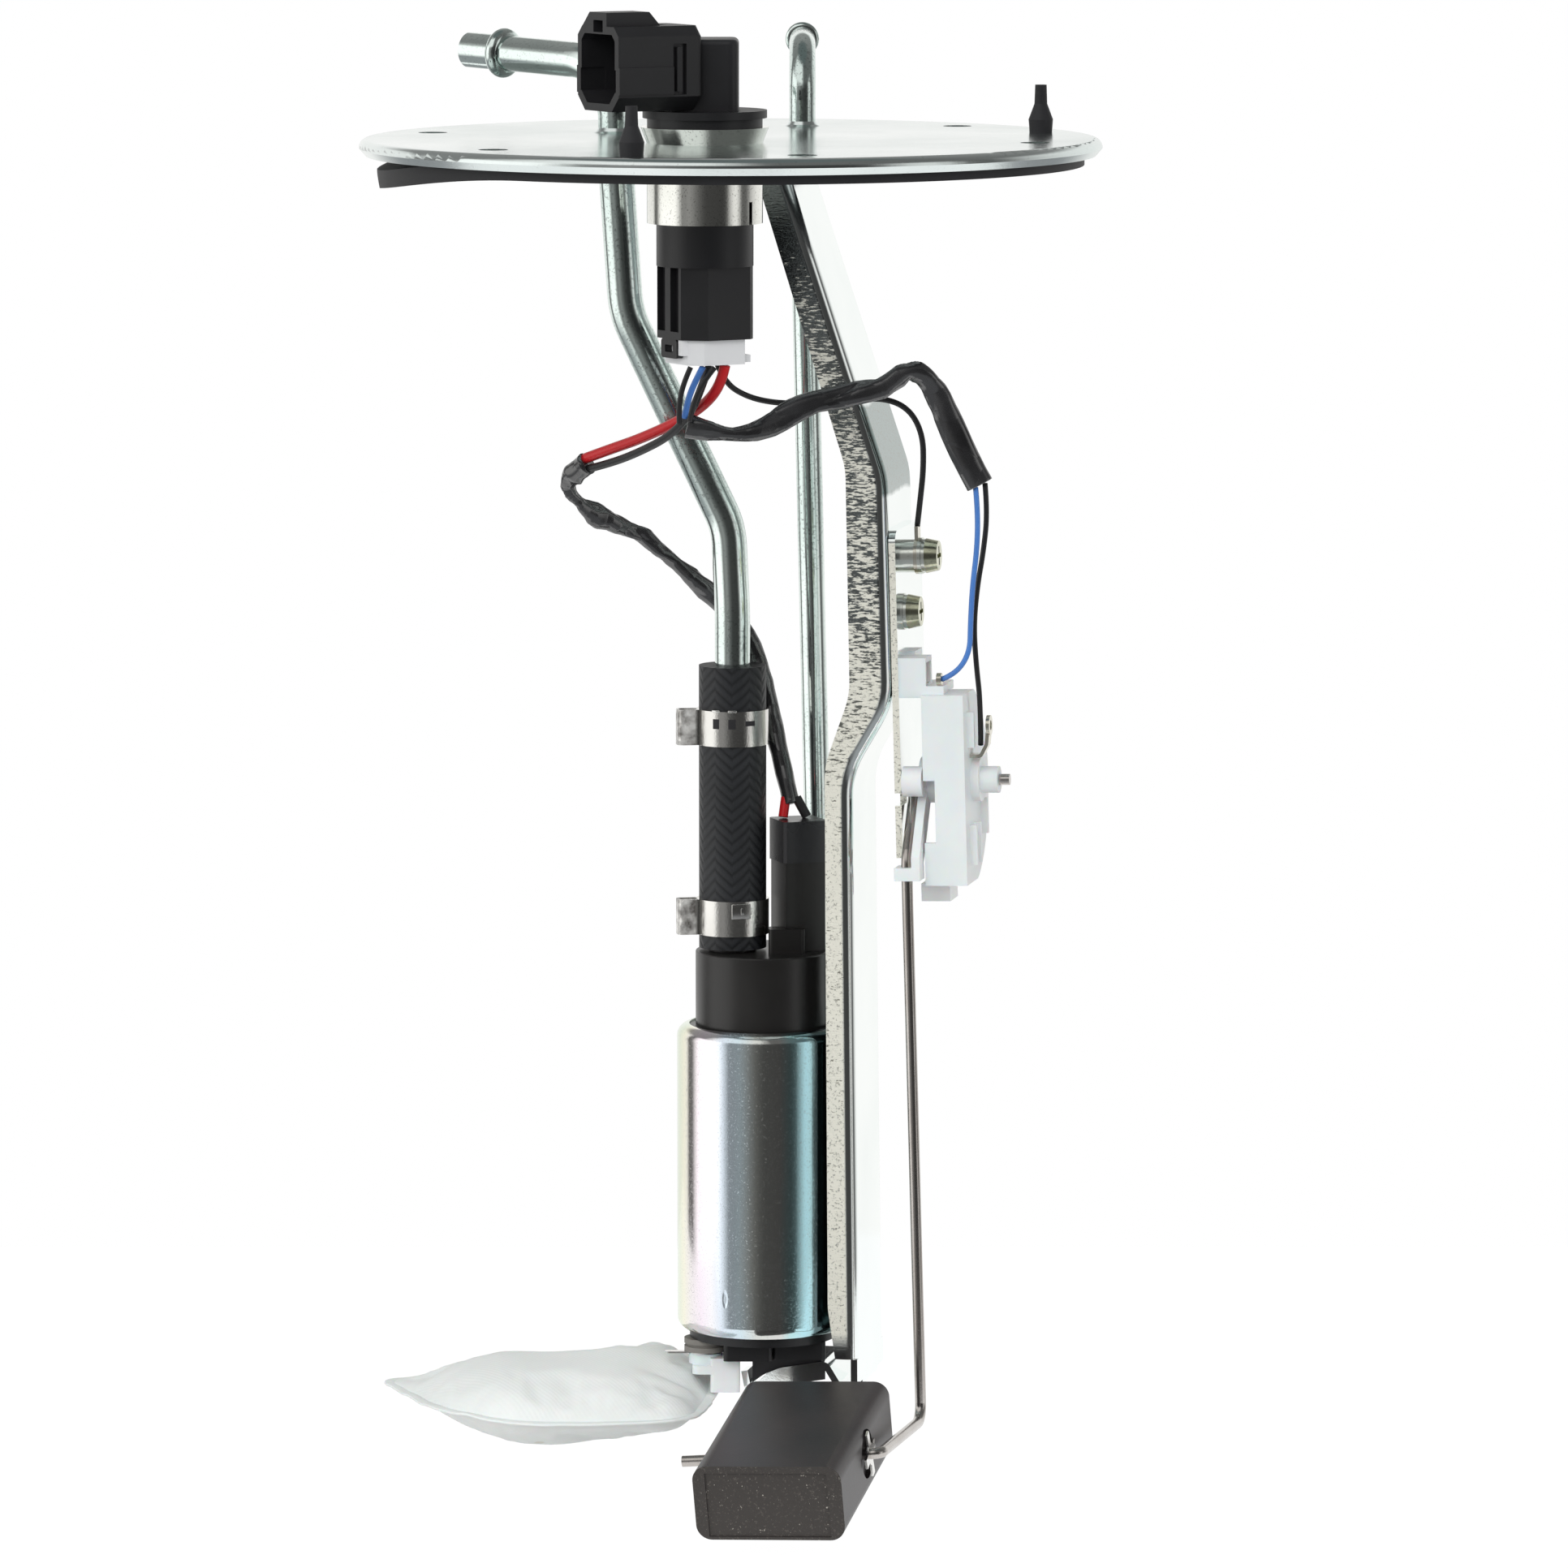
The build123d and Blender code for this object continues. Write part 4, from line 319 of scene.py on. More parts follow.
# pressed details of the hose clamps, in millimetres; each place is the angle round the hose from the front,
# the level, the width and the height
hoseClamp = {"axis": (0.2, 15.0), "radius": 8.2}
clampDetails = {
    "clampSlots": {
        "out": 0.02, "deep": 0.3, "round": 0.1,
        "places": [(-26.8, -130.1, 1.6, 2.3), (-0.5, -130.1, 1.7, 2.3), (29.5, -130.0, 2.4, 1.2)],
    },
    "clampTabs": {
        "out": 0.16, "deep": 0.5, "round": 0.14,
        "places": [
            (14.0, -172.6, 4.4, 3.4), (22.0, -172.6, 2.6, 1.6), (-26.8, -127.2, 2.0, 0.5),
            (0.0, -127.2, 2.0, 0.5),
        ],
    },
}
for name, look in clampDetails.items():
    bm = bmesh.new()
    for angle, level, wide, tall in look["places"]:
        block = bmesh.ops.create_cube(bm, size=0.001)["verts"]
        bmesh.ops.scale(bm, vec=(wide, look["deep"], tall), verts=block)
        edges = list({edge for vertex in block for edge in vertex.link_edges})
        grown = bmesh.ops.bevel(
            bm, geom=edges, offset=look["round"] / 1000, affect="EDGES", segments=2, profile=0.5, material=-1
        )["verts"]
        touched = [face for face in bm.faces if any(vertex in grown for vertex in face.verts)]
        block = list({vertex for face in touched for vertex in face.verts})
        out = hoseClamp["radius"] + look["out"] - look["deep"] / 2
        turned = Matrix.Rotation(math.radians(angle), 3, "Z")
        bmesh.ops.translate(bm, vec=Vector((0, -out / 1000, 0)), verts=block)
        bmesh.ops.rotate(bm, cent=(0, 0, 0), matrix=turned, verts=block)
        bmesh.ops.translate(bm, vec=Vector((*hoseClamp["axis"], level)) / 1000, verts=block)
    bmesh.ops.recalc_face_normals(bm, faces=bm.faces)
    made[name] = placeMesh(name, bm, bpy.data.meshes.new(name))
print("clamps pressed:", len(clampDetails))


# corners of the flat outline are in millimetres; tip and neck are shares of the height, lost or kept there
bagLook = {
    "corners": [(-79.5, 28), (-66, -4), (-52, -14.5), (-9, -12), (-4.5, 16), (-15, 37)],
    "round": 0.006,
    "thick": 0.0060,
    "voxel": 0.0014,
    "crown": 0.0078,
    "belly": 0.0068,
    "shoulder": 0.021,
    "tip": 0.35,
    "neck": 0.35,
    "edge": 0.0003,
    "level": -0.2840,
    "sag": 0.0016,
    "climb": 0.0050,
    "held": 0.0016,
    "frames": 18,
    "mostMove": 0.0017,
    "seamWide": 0.0022,
    "seamInside": 0.0012,
    "seamThick": 0.0006,
    "seamRound": 0.0002,
    "creep": 0.0007,
    "creepFine": 220,
    "ripple": 0.0004,
    "rippleFine": 160,
}
clothSettings = {
    "quality": 6, "mass": 0.25, "tension_stiffness": 12, "compression_stiffness": 4, "shear_stiffness": 4,
    "bending_stiffness": 0.05, "use_pressure": True, "uniform_pressure_force": 5.0,
    "vertex_group_mass": "seam", "shrink_min": -0.035,
}


def eased(value, low, high):
    part = max(0.0, min(1.0, (value - low) / (high - low)))
    return part * part * (3 - 2 * part)


def seamLevel(x, y):
    # height of the bag's welded seam: sags along the front, climbs to the neck at the back right
    along = eased(x, -0.070, -0.035) * (1 - eased(x, -0.020, 0.0))
    sag = -bagLook["sag"] * along * (1 - eased(y, 0.0, 0.02))
    climb = bagLook["climb"] * eased(x, -0.045, -0.010) * eased(y, 0.004, 0.030)
    return bagLook["level"] + sag + climb


def bagOutline():
    # flat outline with rounded corners, as one face
    bm = bmesh.new()
    rim = [bm.verts.new(Vector((x, y, 0)) / 1000) for x, y in bagLook["corners"]]
    bm.faces.new(rim)
    bmesh.ops.bevel(
        bm, geom=rim, offset=bagLook["round"], offset_type="OFFSET", affect="VERTICES",
        segments=5, profile=0.5, material=-1,
    )
    bm.faces.ensure_lookup_table()
    return bm


def settledMesh(piece):
    return bpy.data.meshes.new_from_object(piece.evaluated_get(bpy.context.evaluated_depsgraph_get()))


def smoothAll(mesh):
    for face in mesh.polygons:
        face.use_smooth = True


bm = bagOutline()
outline = [vertex.co.copy() for vertex in bm.faces[0].verts]
raised = bmesh.ops.extrude_face_region(bm, geom=bm.faces[:])["geom"]
topVerts = [part for part in raised if isinstance(part, bmesh.types.BMVert)]
bmesh.ops.translate(bm, vec=(0, 0, bagLook["thick"]), verts=topVerts)
bmesh.ops.recalc_face_normals(bm, faces=bm.faces)
bagMesh = bpy.data.meshes.new("strainerBag")
bm.to_mesh(bagMesh)
bm.free()
bag = addObject("strainerBag", bagMesh)
remesh = bag.modifiers.new("remesh", "REMESH")
remesh.mode = "VOXEL"
remesh.voxel_size = bagLook["voxel"]
fine = settledMesh(bag)
bag.modifiers.remove(remesh)
bag.data = fine
middle = sum(outline, Vector()) / len(outline)


def rimDistance(place):
    # distance from the outline in plan
    flat = Vector((place.x, place.y, 0))
    best = 1.0
    for start, end in zip(outline, outline[1:] + outline[:1]):
        side = end - start
        along = max(0.0, min(1.0, (flat - start).dot(side) / max(side.length_squared, 1e-12)))
        best = min(best, (flat - start - side * along).length)
    return best


held = bag.vertex_groups.new(name="seam")
start = []
for vertex in bag.data.vertices:
    gap = rimDistance(vertex.co)
    lens = math.sqrt(max(0.0, 1 - (1 - min(1.0, gap / bagLook["shoulder"])) ** 2))
    offset = (vertex.co.z - bagLook["thick"] / 2) / (bagLook["thick"] / 2)
    reach = bagLook["crown"] if offset > 0 else bagLook["belly"]
    tip = bagLook["tip"] + (1 - bagLook["tip"]) * eased(vertex.co.x, -0.080, -0.050)
    pillow = reach * lens**1.5 * tip * (1 - bagLook["neck"] * eased(vertex.co.x, -0.030, 0.0))
    vertex.co.z = seamLevel(vertex.co.x, vertex.co.y) + offset * (bagLook["edge"] + pillow)
    if gap < bagLook["held"]:
        held.add([vertex.index], 1.0, "REPLACE")
    start.append(vertex.co.copy())

cloth = bag.modifiers.new("cloth", "CLOTH")
setAll(cloth.settings, clothSettings)
cloth.settings.effector_weights.gravity = 0
cloth.point_cache.frame_start = 1
cloth.point_cache.frame_end = bagLook["frames"]
for step in range(1, bagLook["frames"] + 1):
    bpy.context.scene.frame_set(step)
blown = settledMesh(bag)
bag.modifiers.remove(cloth)
bag.data = blown
bpy.context.scene.frame_set(1)
farthest = 0.0
for vertex, before in zip(bag.data.vertices, start):
    move = vertex.co - before
    farthest = max(farthest, move.length)
    if move.length > bagLook["mostMove"]:
        vertex.co = before + move.normalized() * bagLook["mostMove"]
print("strainer bag blown up, farthest move", round(farthest * 1000, 1), "mm")
smoothAll(bag.data)
rounder = bag.modifiers.new("rounder", "SUBSURF")
rounder.levels = rounder.render_levels = 1
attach(bag, "hanger")
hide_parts("strainer_bag")
made["strainerBag"] = bag

# welded seam: a thin strip round the bag, a little uneven along its outer edge
bm = bagOutline()
bmesh.ops.subdivide_edges(bm, edges=bm.edges[:], cuts=7)
for face in bm.faces[:]:
    bm.faces.remove(face)
grown = bmesh.ops.extrude_edge_only(bm, edges=bm.edges[:])["geom"]
outer = {part for part in grown if isinstance(part, bmesh.types.BMVert)}
for vertex in bm.verts:
    outward = Vector((vertex.co.x - middle.x, vertex.co.y - middle.y, 0)).normalized()
    reach = -bagLook["seamInside"]
    if vertex in outer:
        reach = bagLook["seamWide"] + bagLook["creep"] * noise.noise(vertex.co * bagLook["creepFine"])
    vertex.co += outward * reach
for vertex in bm.verts:
    flat = Vector((vertex.co.x, vertex.co.y, 0.3))
    ripple = bagLook["ripple"] * noise.noise(flat * bagLook["rippleFine"])
    vertex.co.z = seamLevel(vertex.co.x, vertex.co.y) + (ripple if vertex in outer else 0)
bmesh.ops.recalc_face_normals(bm, faces=bm.faces)
seamMesh = bpy.data.meshes.new("strainerSeam")
bm.to_mesh(seamMesh)
bm.free()
smoothAll(seamMesh)
seam = addObject("strainerSeam", seamMesh)
wall = seam.modifiers.new("wall", "SOLIDIFY")
wall.thickness = bagLook["seamThick"]
wall.offset = 0
edge = seam.modifiers.new("edge", "BEVEL")
edge.width = bagLook["seamRound"]
edge.segments = 2
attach(seam, "hanger")
made["strainerSeam"] = seam
print("bag seam welded")


def feed(socket, value):
    # a link from another node's output, or a plain value
    if hasattr(value, "links"):
        socket.id_data.links.new(value, socket)
    else:
        socket.default_value = value


def wire(node, **values):
    # inputs by their names, with _ for a space
    for key, value in values.items():
        feed(node.inputs[key.replace("_", " ")], value)


def addNode(tree, kind, **values):
    added = tree.nodes.new(kind)
    for key, value in values.items():
        if hasattr(added, key):
            setattr(added, key, value)
        else:
            wire(added, **{key: value})
    return added


def mathNode(tree, operation, *values, clamp=False):
    added = addNode(tree, "ShaderNodeMath", operation=operation, use_clamp=clamp)
    for socket, value in zip(added.inputs, values):
        feed(socket, value)
    return added.outputs[0]


def times(tree, first, second, clamp=False):
    return mathNode(tree, "MULTIPLY", first, second, clamp=clamp)


def plus(tree, first, second, clamp=False):
    return mathNode(tree, "ADD", first, second, clamp=clamp)


def minus(tree, first, second, clamp=False):
    return mathNode(tree, "SUBTRACT", first, second, clamp=clamp)


def timesPlus(tree, value, gain, base, clamp=False):
    # value times gain, plus base
    return mathNode(tree, "MULTIPLY_ADD", value, gain, base, clamp=clamp)


def rising(tree, value, level, gain):
    # 0 up to the level, then climbing to 1
    return times(tree, minus(tree, value, level), gain, clamp=True)


def ramp(tree, factor, stops):
    added = addNode(tree, "ShaderNodeValToRGB")
    marks = added.color_ramp.elements
    while len(marks) < len(stops):
        marks.new(0.5)
    for mark, (place, colour) in zip(marks, stops):
        mark.position = place
    for mark, (place, colour) in zip(marks, stops):
        mark.color = (*colour, 1)
    feed(added.inputs[0], factor)
    return added.outputs[0]


def mixColour(tree, factor, first, second):
    added = addNode(tree, "ShaderNodeMix", data_type="RGBA")
    for slot, value in ((0, factor), (6, first), (7, second)):
        feed(added.inputs[slot], (*value, 1) if isinstance(value, tuple) else value)
    return added.outputs[2]


def newGroup(name, inputs, outputs):
    # inputs with a first value each, a number or a vector; each output is a number
    group = bpy.data.node_groups.new(name, "ShaderNodeTree")
    for label, value in inputs.items():
        kind = "NodeSocketFloat" if isinstance(value, float) else "NodeSocketVector"
        group.interface.new_socket(label, in_out="INPUT", socket_type=kind).default_value = value
    for label in outputs:
        group.interface.new_socket(label, in_out="OUTPUT", socket_type="NodeSocketFloat")
    return group, group.nodes.new("NodeGroupInput").outputs, group.nodes.new("NodeGroupOutput")


def placeGroup(tree, group, **values):
    return addNode(tree, "ShaderNodeGroup", node_tree=group, **values).outputs


origin = (0.0, 0.0, 0.0)

# small bright or dark grains, with a height for bump
tree, given, result = newGroup(
    "grain", {"Vector": origin, "Scale": 900.0, "Threshold": 0.6}, ["Mask", "Height"]
)
cells = addNode(
    tree, "ShaderNodeTexNoise", Vector=given["Vector"], Scale=given["Scale"], Detail=3.0, Roughness=0.7
).outputs[0]
wire(result, Mask=rising(tree, cells, given["Threshold"], 14.0), Height=cells)
grainGroup = tree

# broad uneven patches
tree, given, result = newGroup("patches", {"Vector": origin, "Scale": 40.0, "Contrast": 2.0}, ["Mask"])
clouds = addNode(
    tree, "ShaderNodeTexNoise", Vector=given["Vector"], Scale=given["Scale"], Detail=4.0, Roughness=0.55
).outputs[0]
wire(result, Mask=plus(tree, times(tree, minus(tree, clouds, 0.5), given["Contrast"]), 0.5, clamp=True))
patchGroup = tree

# height of lines drawn out along the vector's third axis
tree, given, result = newGroup(
    "drawnLines", {"Vector": origin, "Fineness": 900.0, "Stretch": 0.02}, ["Height"]
)
drawn = times(tree, given["Fineness"], given["Stretch"])
spread = addNode(tree, "ShaderNodeCombineXYZ", X=given["Fineness"], Y=given["Fineness"], Z=drawn)
scaled = addNode(tree, "ShaderNodeVectorMath", operation="MULTIPLY")
feed(scaled.inputs[0], given["Vector"])
feed(scaled.inputs[1], spread.outputs[0])
lines = addNode(tree, "ShaderNodeTexNoise", Vector=scaled.outputs[0], Scale=1.0, Detail=3.0, Roughness=0.6)
wire(result, Height=lines.outputs[0])
drawGroup = tree

# how much a face looks along a given direction
tree, given, result = newGroup(
    "facing", {"Direction": (0.0, -1.0, 0.0), "From": 0.9, "Steepness": 25.0}, ["Mask"]
)
along = addNode(tree, "ShaderNodeVectorMath", operation="DOT_PRODUCT")
feed(along.inputs[0], addNode(tree, "ShaderNodeTexCoord").outputs["Normal"])
feed(along.inputs[1], given["Direction"])
wire(result, Mask=rising(tree, along.outputs["Value"], given["From"], given["Steepness"]))
facingGroup = tree


def patches(tree, vector, scale, contrast):
    return placeGroup(tree, patchGroup, Vector=vector, Scale=scale, Contrast=contrast)["Mask"]


def grains(tree, vector, scale, threshold):
    return placeGroup(tree, grainGroup, Vector=vector, Scale=scale, Threshold=threshold)


def drawnLines(tree, vector, fineness, stretch):
    return placeGroup(tree, drawGroup, Vector=vector, Fineness=fineness, Stretch=stretch)["Height"]


finish = {}


def newMaterial(name, base, metallic=0.0, roughness=0.5, **settings):
    material = bpy.data.materials.new(name)
    material.use_nodes = True
    tree = material.node_tree
    shader = tree.nodes["Principled BSDF"]
    wire(shader, Base_Color=(*base, 1), Metallic=metallic, Roughness=roughness, **settings)
    finish[name] = material
    return tree, shader, addNode(tree, "ShaderNodeTexCoord").outputs["Object"]


def addBump(tree, shader, height, strength, distance):
    bump = addNode(tree, "ShaderNodeBump", Strength=strength, Distance=distance, Height=height)
    wire(shader, Normal=bump.outputs[0])


def splitAxes(tree, vector):
    return addNode(tree, "ShaderNodeSeparateXYZ", Vector=vector).outputs


def fromAxis(tree, vector, axis):
    # the vector's parts, counted from an upright axis
    moved = addNode(tree, "ShaderNodeMapping", Vector=vector, Location=(-axis[0], -axis[1], 0.0))
    return splitAxes(tree, moved.outputs[0])


def turnFromFront(tree, axes):
    # share of a full turn: 0.5 looks to the front, more is to the right
    around = mathNode(tree, "ARCTAN2", axes[0], times(tree, axes[1], -1.0))
    return timesPlus(tree, around, 1 / (2 * math.pi), 0.5)


def metalMaterial(name, look):
    # plated steel: drifting tone, fine dark pits, and drawn marks where it was drawn or spun
    tree, shader, vector = newMaterial(name, look["bright"], metallic=1.0, roughness=look["rough"])
    patch = patches(tree, vector, scale=look.get("patch", 35.0), contrast=2.4)
    grain = grains(tree, vector, scale=look["grain"], threshold=look.get("threshold", 0.58))
    colour = mixColour(tree, patch, look["bright"], look["shade"])
    speck = times(tree, grain["Mask"], look["pits"], clamp=True)
    colour = mixColour(tree, speck, colour, tuple(c * 0.5 for c in look["shade"]))
    wire(shader, Base_Color=colour, Roughness=timesPlus(tree, patch, 0.06, look["rough"]))
    height = grain["Height"]
    if "drawn" in look:
        marks = drawnLines(tree, vector, fineness=2600.0, stretch=0.015)
        height = timesPlus(tree, marks, look["drawn"], height)
    addBump(tree, shader, height, strength=0.25, distance=0.00004)


def plasticMaterial(name, look, **settings):
    # moulded or extruded plastic: cloudy tone, a fine moulded skin, and slight shine changes
    tree, shader, vector = newMaterial(name, look["base"], roughness=look["rough"], **settings)
    patch = patches(tree, vector, scale=look.get("patch", 60.0), contrast=2.0)
    grain = grains(tree, vector, scale=look.get("grain", 2400.0), threshold=0.62)
    colour = mixColour(tree, patch, look["base"], look["shade"])
    wire(shader, Base_Color=colour, Roughness=timesPlus(tree, patch, 0.1, look["rough"]))
    addBump(tree, shader, grain["Height"], strength=0.3, distance=look.get("depth", 0.00004))


metals = {
    "flangeZinc": {"bright": (0.82, 0.87, 0.86), "shade": (0.66, 0.73, 0.72), "rough": 0.14, "grain": 1500.0,
                   "pits": 0.3, "patch": 18.0, "threshold": 0.62},
    "brightSteel": {"bright": (0.86, 0.86, 0.84), "shade": (0.68, 0.67, 0.64), "rough": 0.16, "grain": 1800.0,
                    "pits": 0.3, "drawn": 0.4},
    "ferruleSteel": {"bright": (0.90, 0.90, 0.86), "shade": (0.74, 0.75, 0.70), "rough": 0.1, "grain": 1900.0,
                     "pits": 0.7, "drawn": 0.5},
    "paleZinc": {"bright": (0.86, 0.89, 0.84), "shade": (0.70, 0.73, 0.66), "rough": 0.2, "grain": 1500.0,
                 "pits": 0.35},
    "screwZinc": {"bright": (0.72, 0.74, 0.54), "shade": (0.44, 0.44, 0.34), "rough": 0.18, "grain": 1500.0,
                  "pits": 0.5, "patch": 260.0},
    "armSteel": {"bright": (0.62, 0.60, 0.58), "shade": (0.42, 0.38, 0.35), "rough": 0.2, "grain": 2000.0,
                 "pits": 0.2, "drawn": 0.6},
    "tinnedBrass": {"bright": (0.80, 0.78, 0.70), "shade": (0.6, 0.57, 0.46), "rough": 0.22, "grain": 1500.0,
                    "pits": 0.3},
    "motorIron": {"bright": (0.25, 0.25, 0.26), "shade": (0.14, 0.14, 0.15), "rough": 0.5, "grain": 900.0,
                  "pits": 0.4},
}
plastics = {
    "blackPlastic": {"base": (0.010, 0.010, 0.011), "shade": (0.017, 0.017, 0.019), "rough": 0.40},
    "blackRubber": {"base": (0.015, 0.015, 0.017), "shade": (0.026, 0.026, 0.028), "rough": 0.58,
                    "grain": 1400.0, "depth": 0.00008},
    "capPlastic": {"base": (0.010, 0.0095, 0.0095), "shade": (0.019, 0.018, 0.017), "rough": 0.28,
                   "patch": 45.0},
    "plugPlastic": {"base": (0.016, 0.016, 0.018), "shade": (0.024, 0.024, 0.026), "rough": 0.24},
    "greyRubber": {"base": (0.30, 0.285, 0.265), "shade": (0.20, 0.19, 0.175), "rough": 0.5, "patch": 120.0},
    "whitePlastic": {"base": (0.84, 0.85, 0.86), "shade": (0.77, 0.78, 0.80), "rough": 0.36},
    "resistorCard": {"base": (0.78, 0.76, 0.70), "shade": (0.6, 0.58, 0.5), "rough": 0.5},
    "redVinyl": {"base": (0.66, 0.016, 0.022), "shade": (0.54, 0.012, 0.016), "rough": 0.3, "grain": 900.0},
    "blackVinyl": {"base": (0.012, 0.012, 0.013), "shade": (0.019, 0.019, 0.020), "rough": 0.36,
                   "grain": 900.0},
    "blueVinyl": {"base": (0.085, 0.25, 0.68), "shade": (0.07, 0.20, 0.58), "rough": 0.34, "grain": 900.0},
}
for name, look in metals.items():
    metalMaterial(name, look)
for name, look in plastics.items():
    plasticMaterial(name, look)
plasticMaterial(
    "naturalPlastic", {"base": (0.92, 0.935, 0.945), "shade": (0.85, 0.875, 0.885), "rough": 0.34},
    Subsurface_Weight=0.35, Subsurface_Scale=0.004,
)


def pipeMaterial():
    # drawn zinc-plated tube: lengthwise marks everywhere, peened dots in drifting patches
    look = {
        "bright": (0.84, 0.92, 0.89), "shade": (0.66, 0.76, 0.73), "worn": (0.30, 0.33, 0.32), "rough": 0.07,
    }
    tree, shader, vector = newMaterial("pipeZinc", look["bright"], metallic=1.0, roughness=look["rough"])
    patch = patches(tree, vector, scale=28.0, contrast=3.5)
    dots = grains(tree, vector, scale=1500.0, threshold=0.55)["Mask"]
    marks = drawnLines(tree, vector, fineness=2400.0, stretch=0.012)
    colour = mixColour(tree, patch, look["bright"], look["shade"])
    colour = mixColour(tree, times(tree, dots, times(tree, patch, 0.7)), colour, look["worn"])
    wire(shader, Base_Color=colour, Roughness=timesPlus(tree, patch, 0.05, look["rough"]))
    peened = times(tree, dots, plus(tree, patch, 0.05))
    height = timesPlus(tree, marks, 0.3, times(tree, peened, 0.5))
    addBump(tree, shader, height, strength=0.3, distance=0.00005)


def bracketMaterial(name, look):
    # pressed zinc sheet: smooth faces and bends, and hammered faces to the front with light streaks
    tree, shader, vector = newMaterial(name, (0.9, 0.9, 0.85), metallic=1.0, roughness=0.2)
    facing = placeGroup(
        tree, facingGroup, Direction=look["direction"], From=look["from"], Steepness=look["steepness"]
    )["Mask"]
    height = splitAxes(tree, vector)[2]
    patch = patches(tree, vector, scale=30.0, contrast=2.6)
    onset = timesPlus(tree, height, -look["onset"][1], look["onset"][0], clamp=True)
    aged = timesPlus(tree, height, -look["aged"][1], look["aged"][0], clamp=True)
    foot = timesPlus(tree, height, look["footEdge"], look["foot"] * look["footEdge"], clamp=True)
    worked = times(tree, facing, foot)
    grain = grains(tree, vector, scale=1500.0, threshold=0.56)
    sideways = addNode(tree, "ShaderNodeMapping", Vector=vector, Rotation=(0, math.pi / 2, 0)).outputs[0]
    cross = drawnLines(tree, sideways, fineness=look["fineness"], stretch=0.05)
    smooth = mixColour(tree, patch, look["bright"], look["shade"])
    # light streaks over darker metal, more of them lower down
    blotch = patches(tree, vector, scale=110.0, contrast=2.4)
    share = timesPlus(tree, onset, look["streaks"][1], look["streaks"][0])
    share = timesPlus(tree, aged, look["streaks"][2], share)
    share = timesPlus(tree, minus(tree, blotch, 0.5), look["blotches"], share)
    streak = times(tree, plus(tree, minus(tree, cross, 0.5), share), look["sharp"], clamp=True)
    light = times(tree, streak, worked)
    hammered = mixColour(tree, light, mixColour(tree, aged, look["dark"], look["dull"]), look["cream"])
    pits = times(tree, grain["Mask"], timesPlus(tree, aged, 0.45, 0.25))
    hammered = mixColour(tree, pits, hammered, look["pit"])
    # a dull beaten patch on the outer side of the web
    outer = placeGroup(tree, facingGroup, Direction=look["outer"], From=0.5, Steepness=8.0)["Mask"]
    wander = timesPlus(tree, blotch, look["wander"], height)
    under = rising(tree, look["beaten"][0], wander, look["beatenEdge"])
    above = rising(tree, wander, look["beaten"][1], look["beatenEdge"])
    beaten = times(tree, times(tree, under, above), outer)
    smooth = mixColour(tree, beaten, smooth, mixColour(tree, grain["Mask"], look["grey"], look["pit"]))
    wire(
        shader, Base_Color=mixColour(tree, worked, smooth, hammered),
        Roughness=timesPlus(tree, light, look["matte"], 0.1), Metallic=timesPlus(tree, light, -0.75, 1.0),
    )
    crossed = times(tree, cross, times(tree, worked, 3.0))
    pitted = times(tree, grain["Height"], timesPlus(tree, worked, 1.2, 0.12))
    addBump(tree, shader, plus(tree, crossed, pitted), strength=0.5, distance=0.0001)


# onset and aged: where the streaks begin and the metal dulls, as (share at level 0, change per metre down);
# streaks: share of light metal at the top, then what onset and aged add
sheetLook = {
    "direction": (-0.208, -0.978, 0.0), "from": 0.985, "steepness": 90.0,
    "onset": (-0.5, 32.0), "aged": (-1.9, 18.0), "foot": 0.271, "footEdge": 300.0,
    "streaks": (-0.20, 0.245, 0.17), "fineness": 2300.0, "blotches": 0.14, "sharp": 12.0,
    "outer": (0.978, -0.208, 0.028), "beaten": (-0.0565, -0.0775), "beatenEdge": 900.0, "wander": 0.0012,
    "bright": (0.94, 0.98, 0.97), "shade": (0.87, 0.92, 0.91), "cream": (0.92, 0.91, 0.81),
    "dark": (0.30, 0.33, 0.33), "dull": (0.66, 0.66, 0.55), "matte": 0.3,
    "grey": (0.25, 0.31, 0.30), "pit": (0.22, 0.22, 0.19),
}
plateLook = {
    **sheetLook, "onset": (1.0, 0.0), "aged": (1.0, 0.0), "foot": 1.0, "fineness": 3600.0,
    "dull": (0.74, 0.73, 0.60), "beaten": (1.0, 2.0),
}
bracketMaterial("bracketZinc", sheetLook)
bracketMaterial("plateZinc", plateLook)


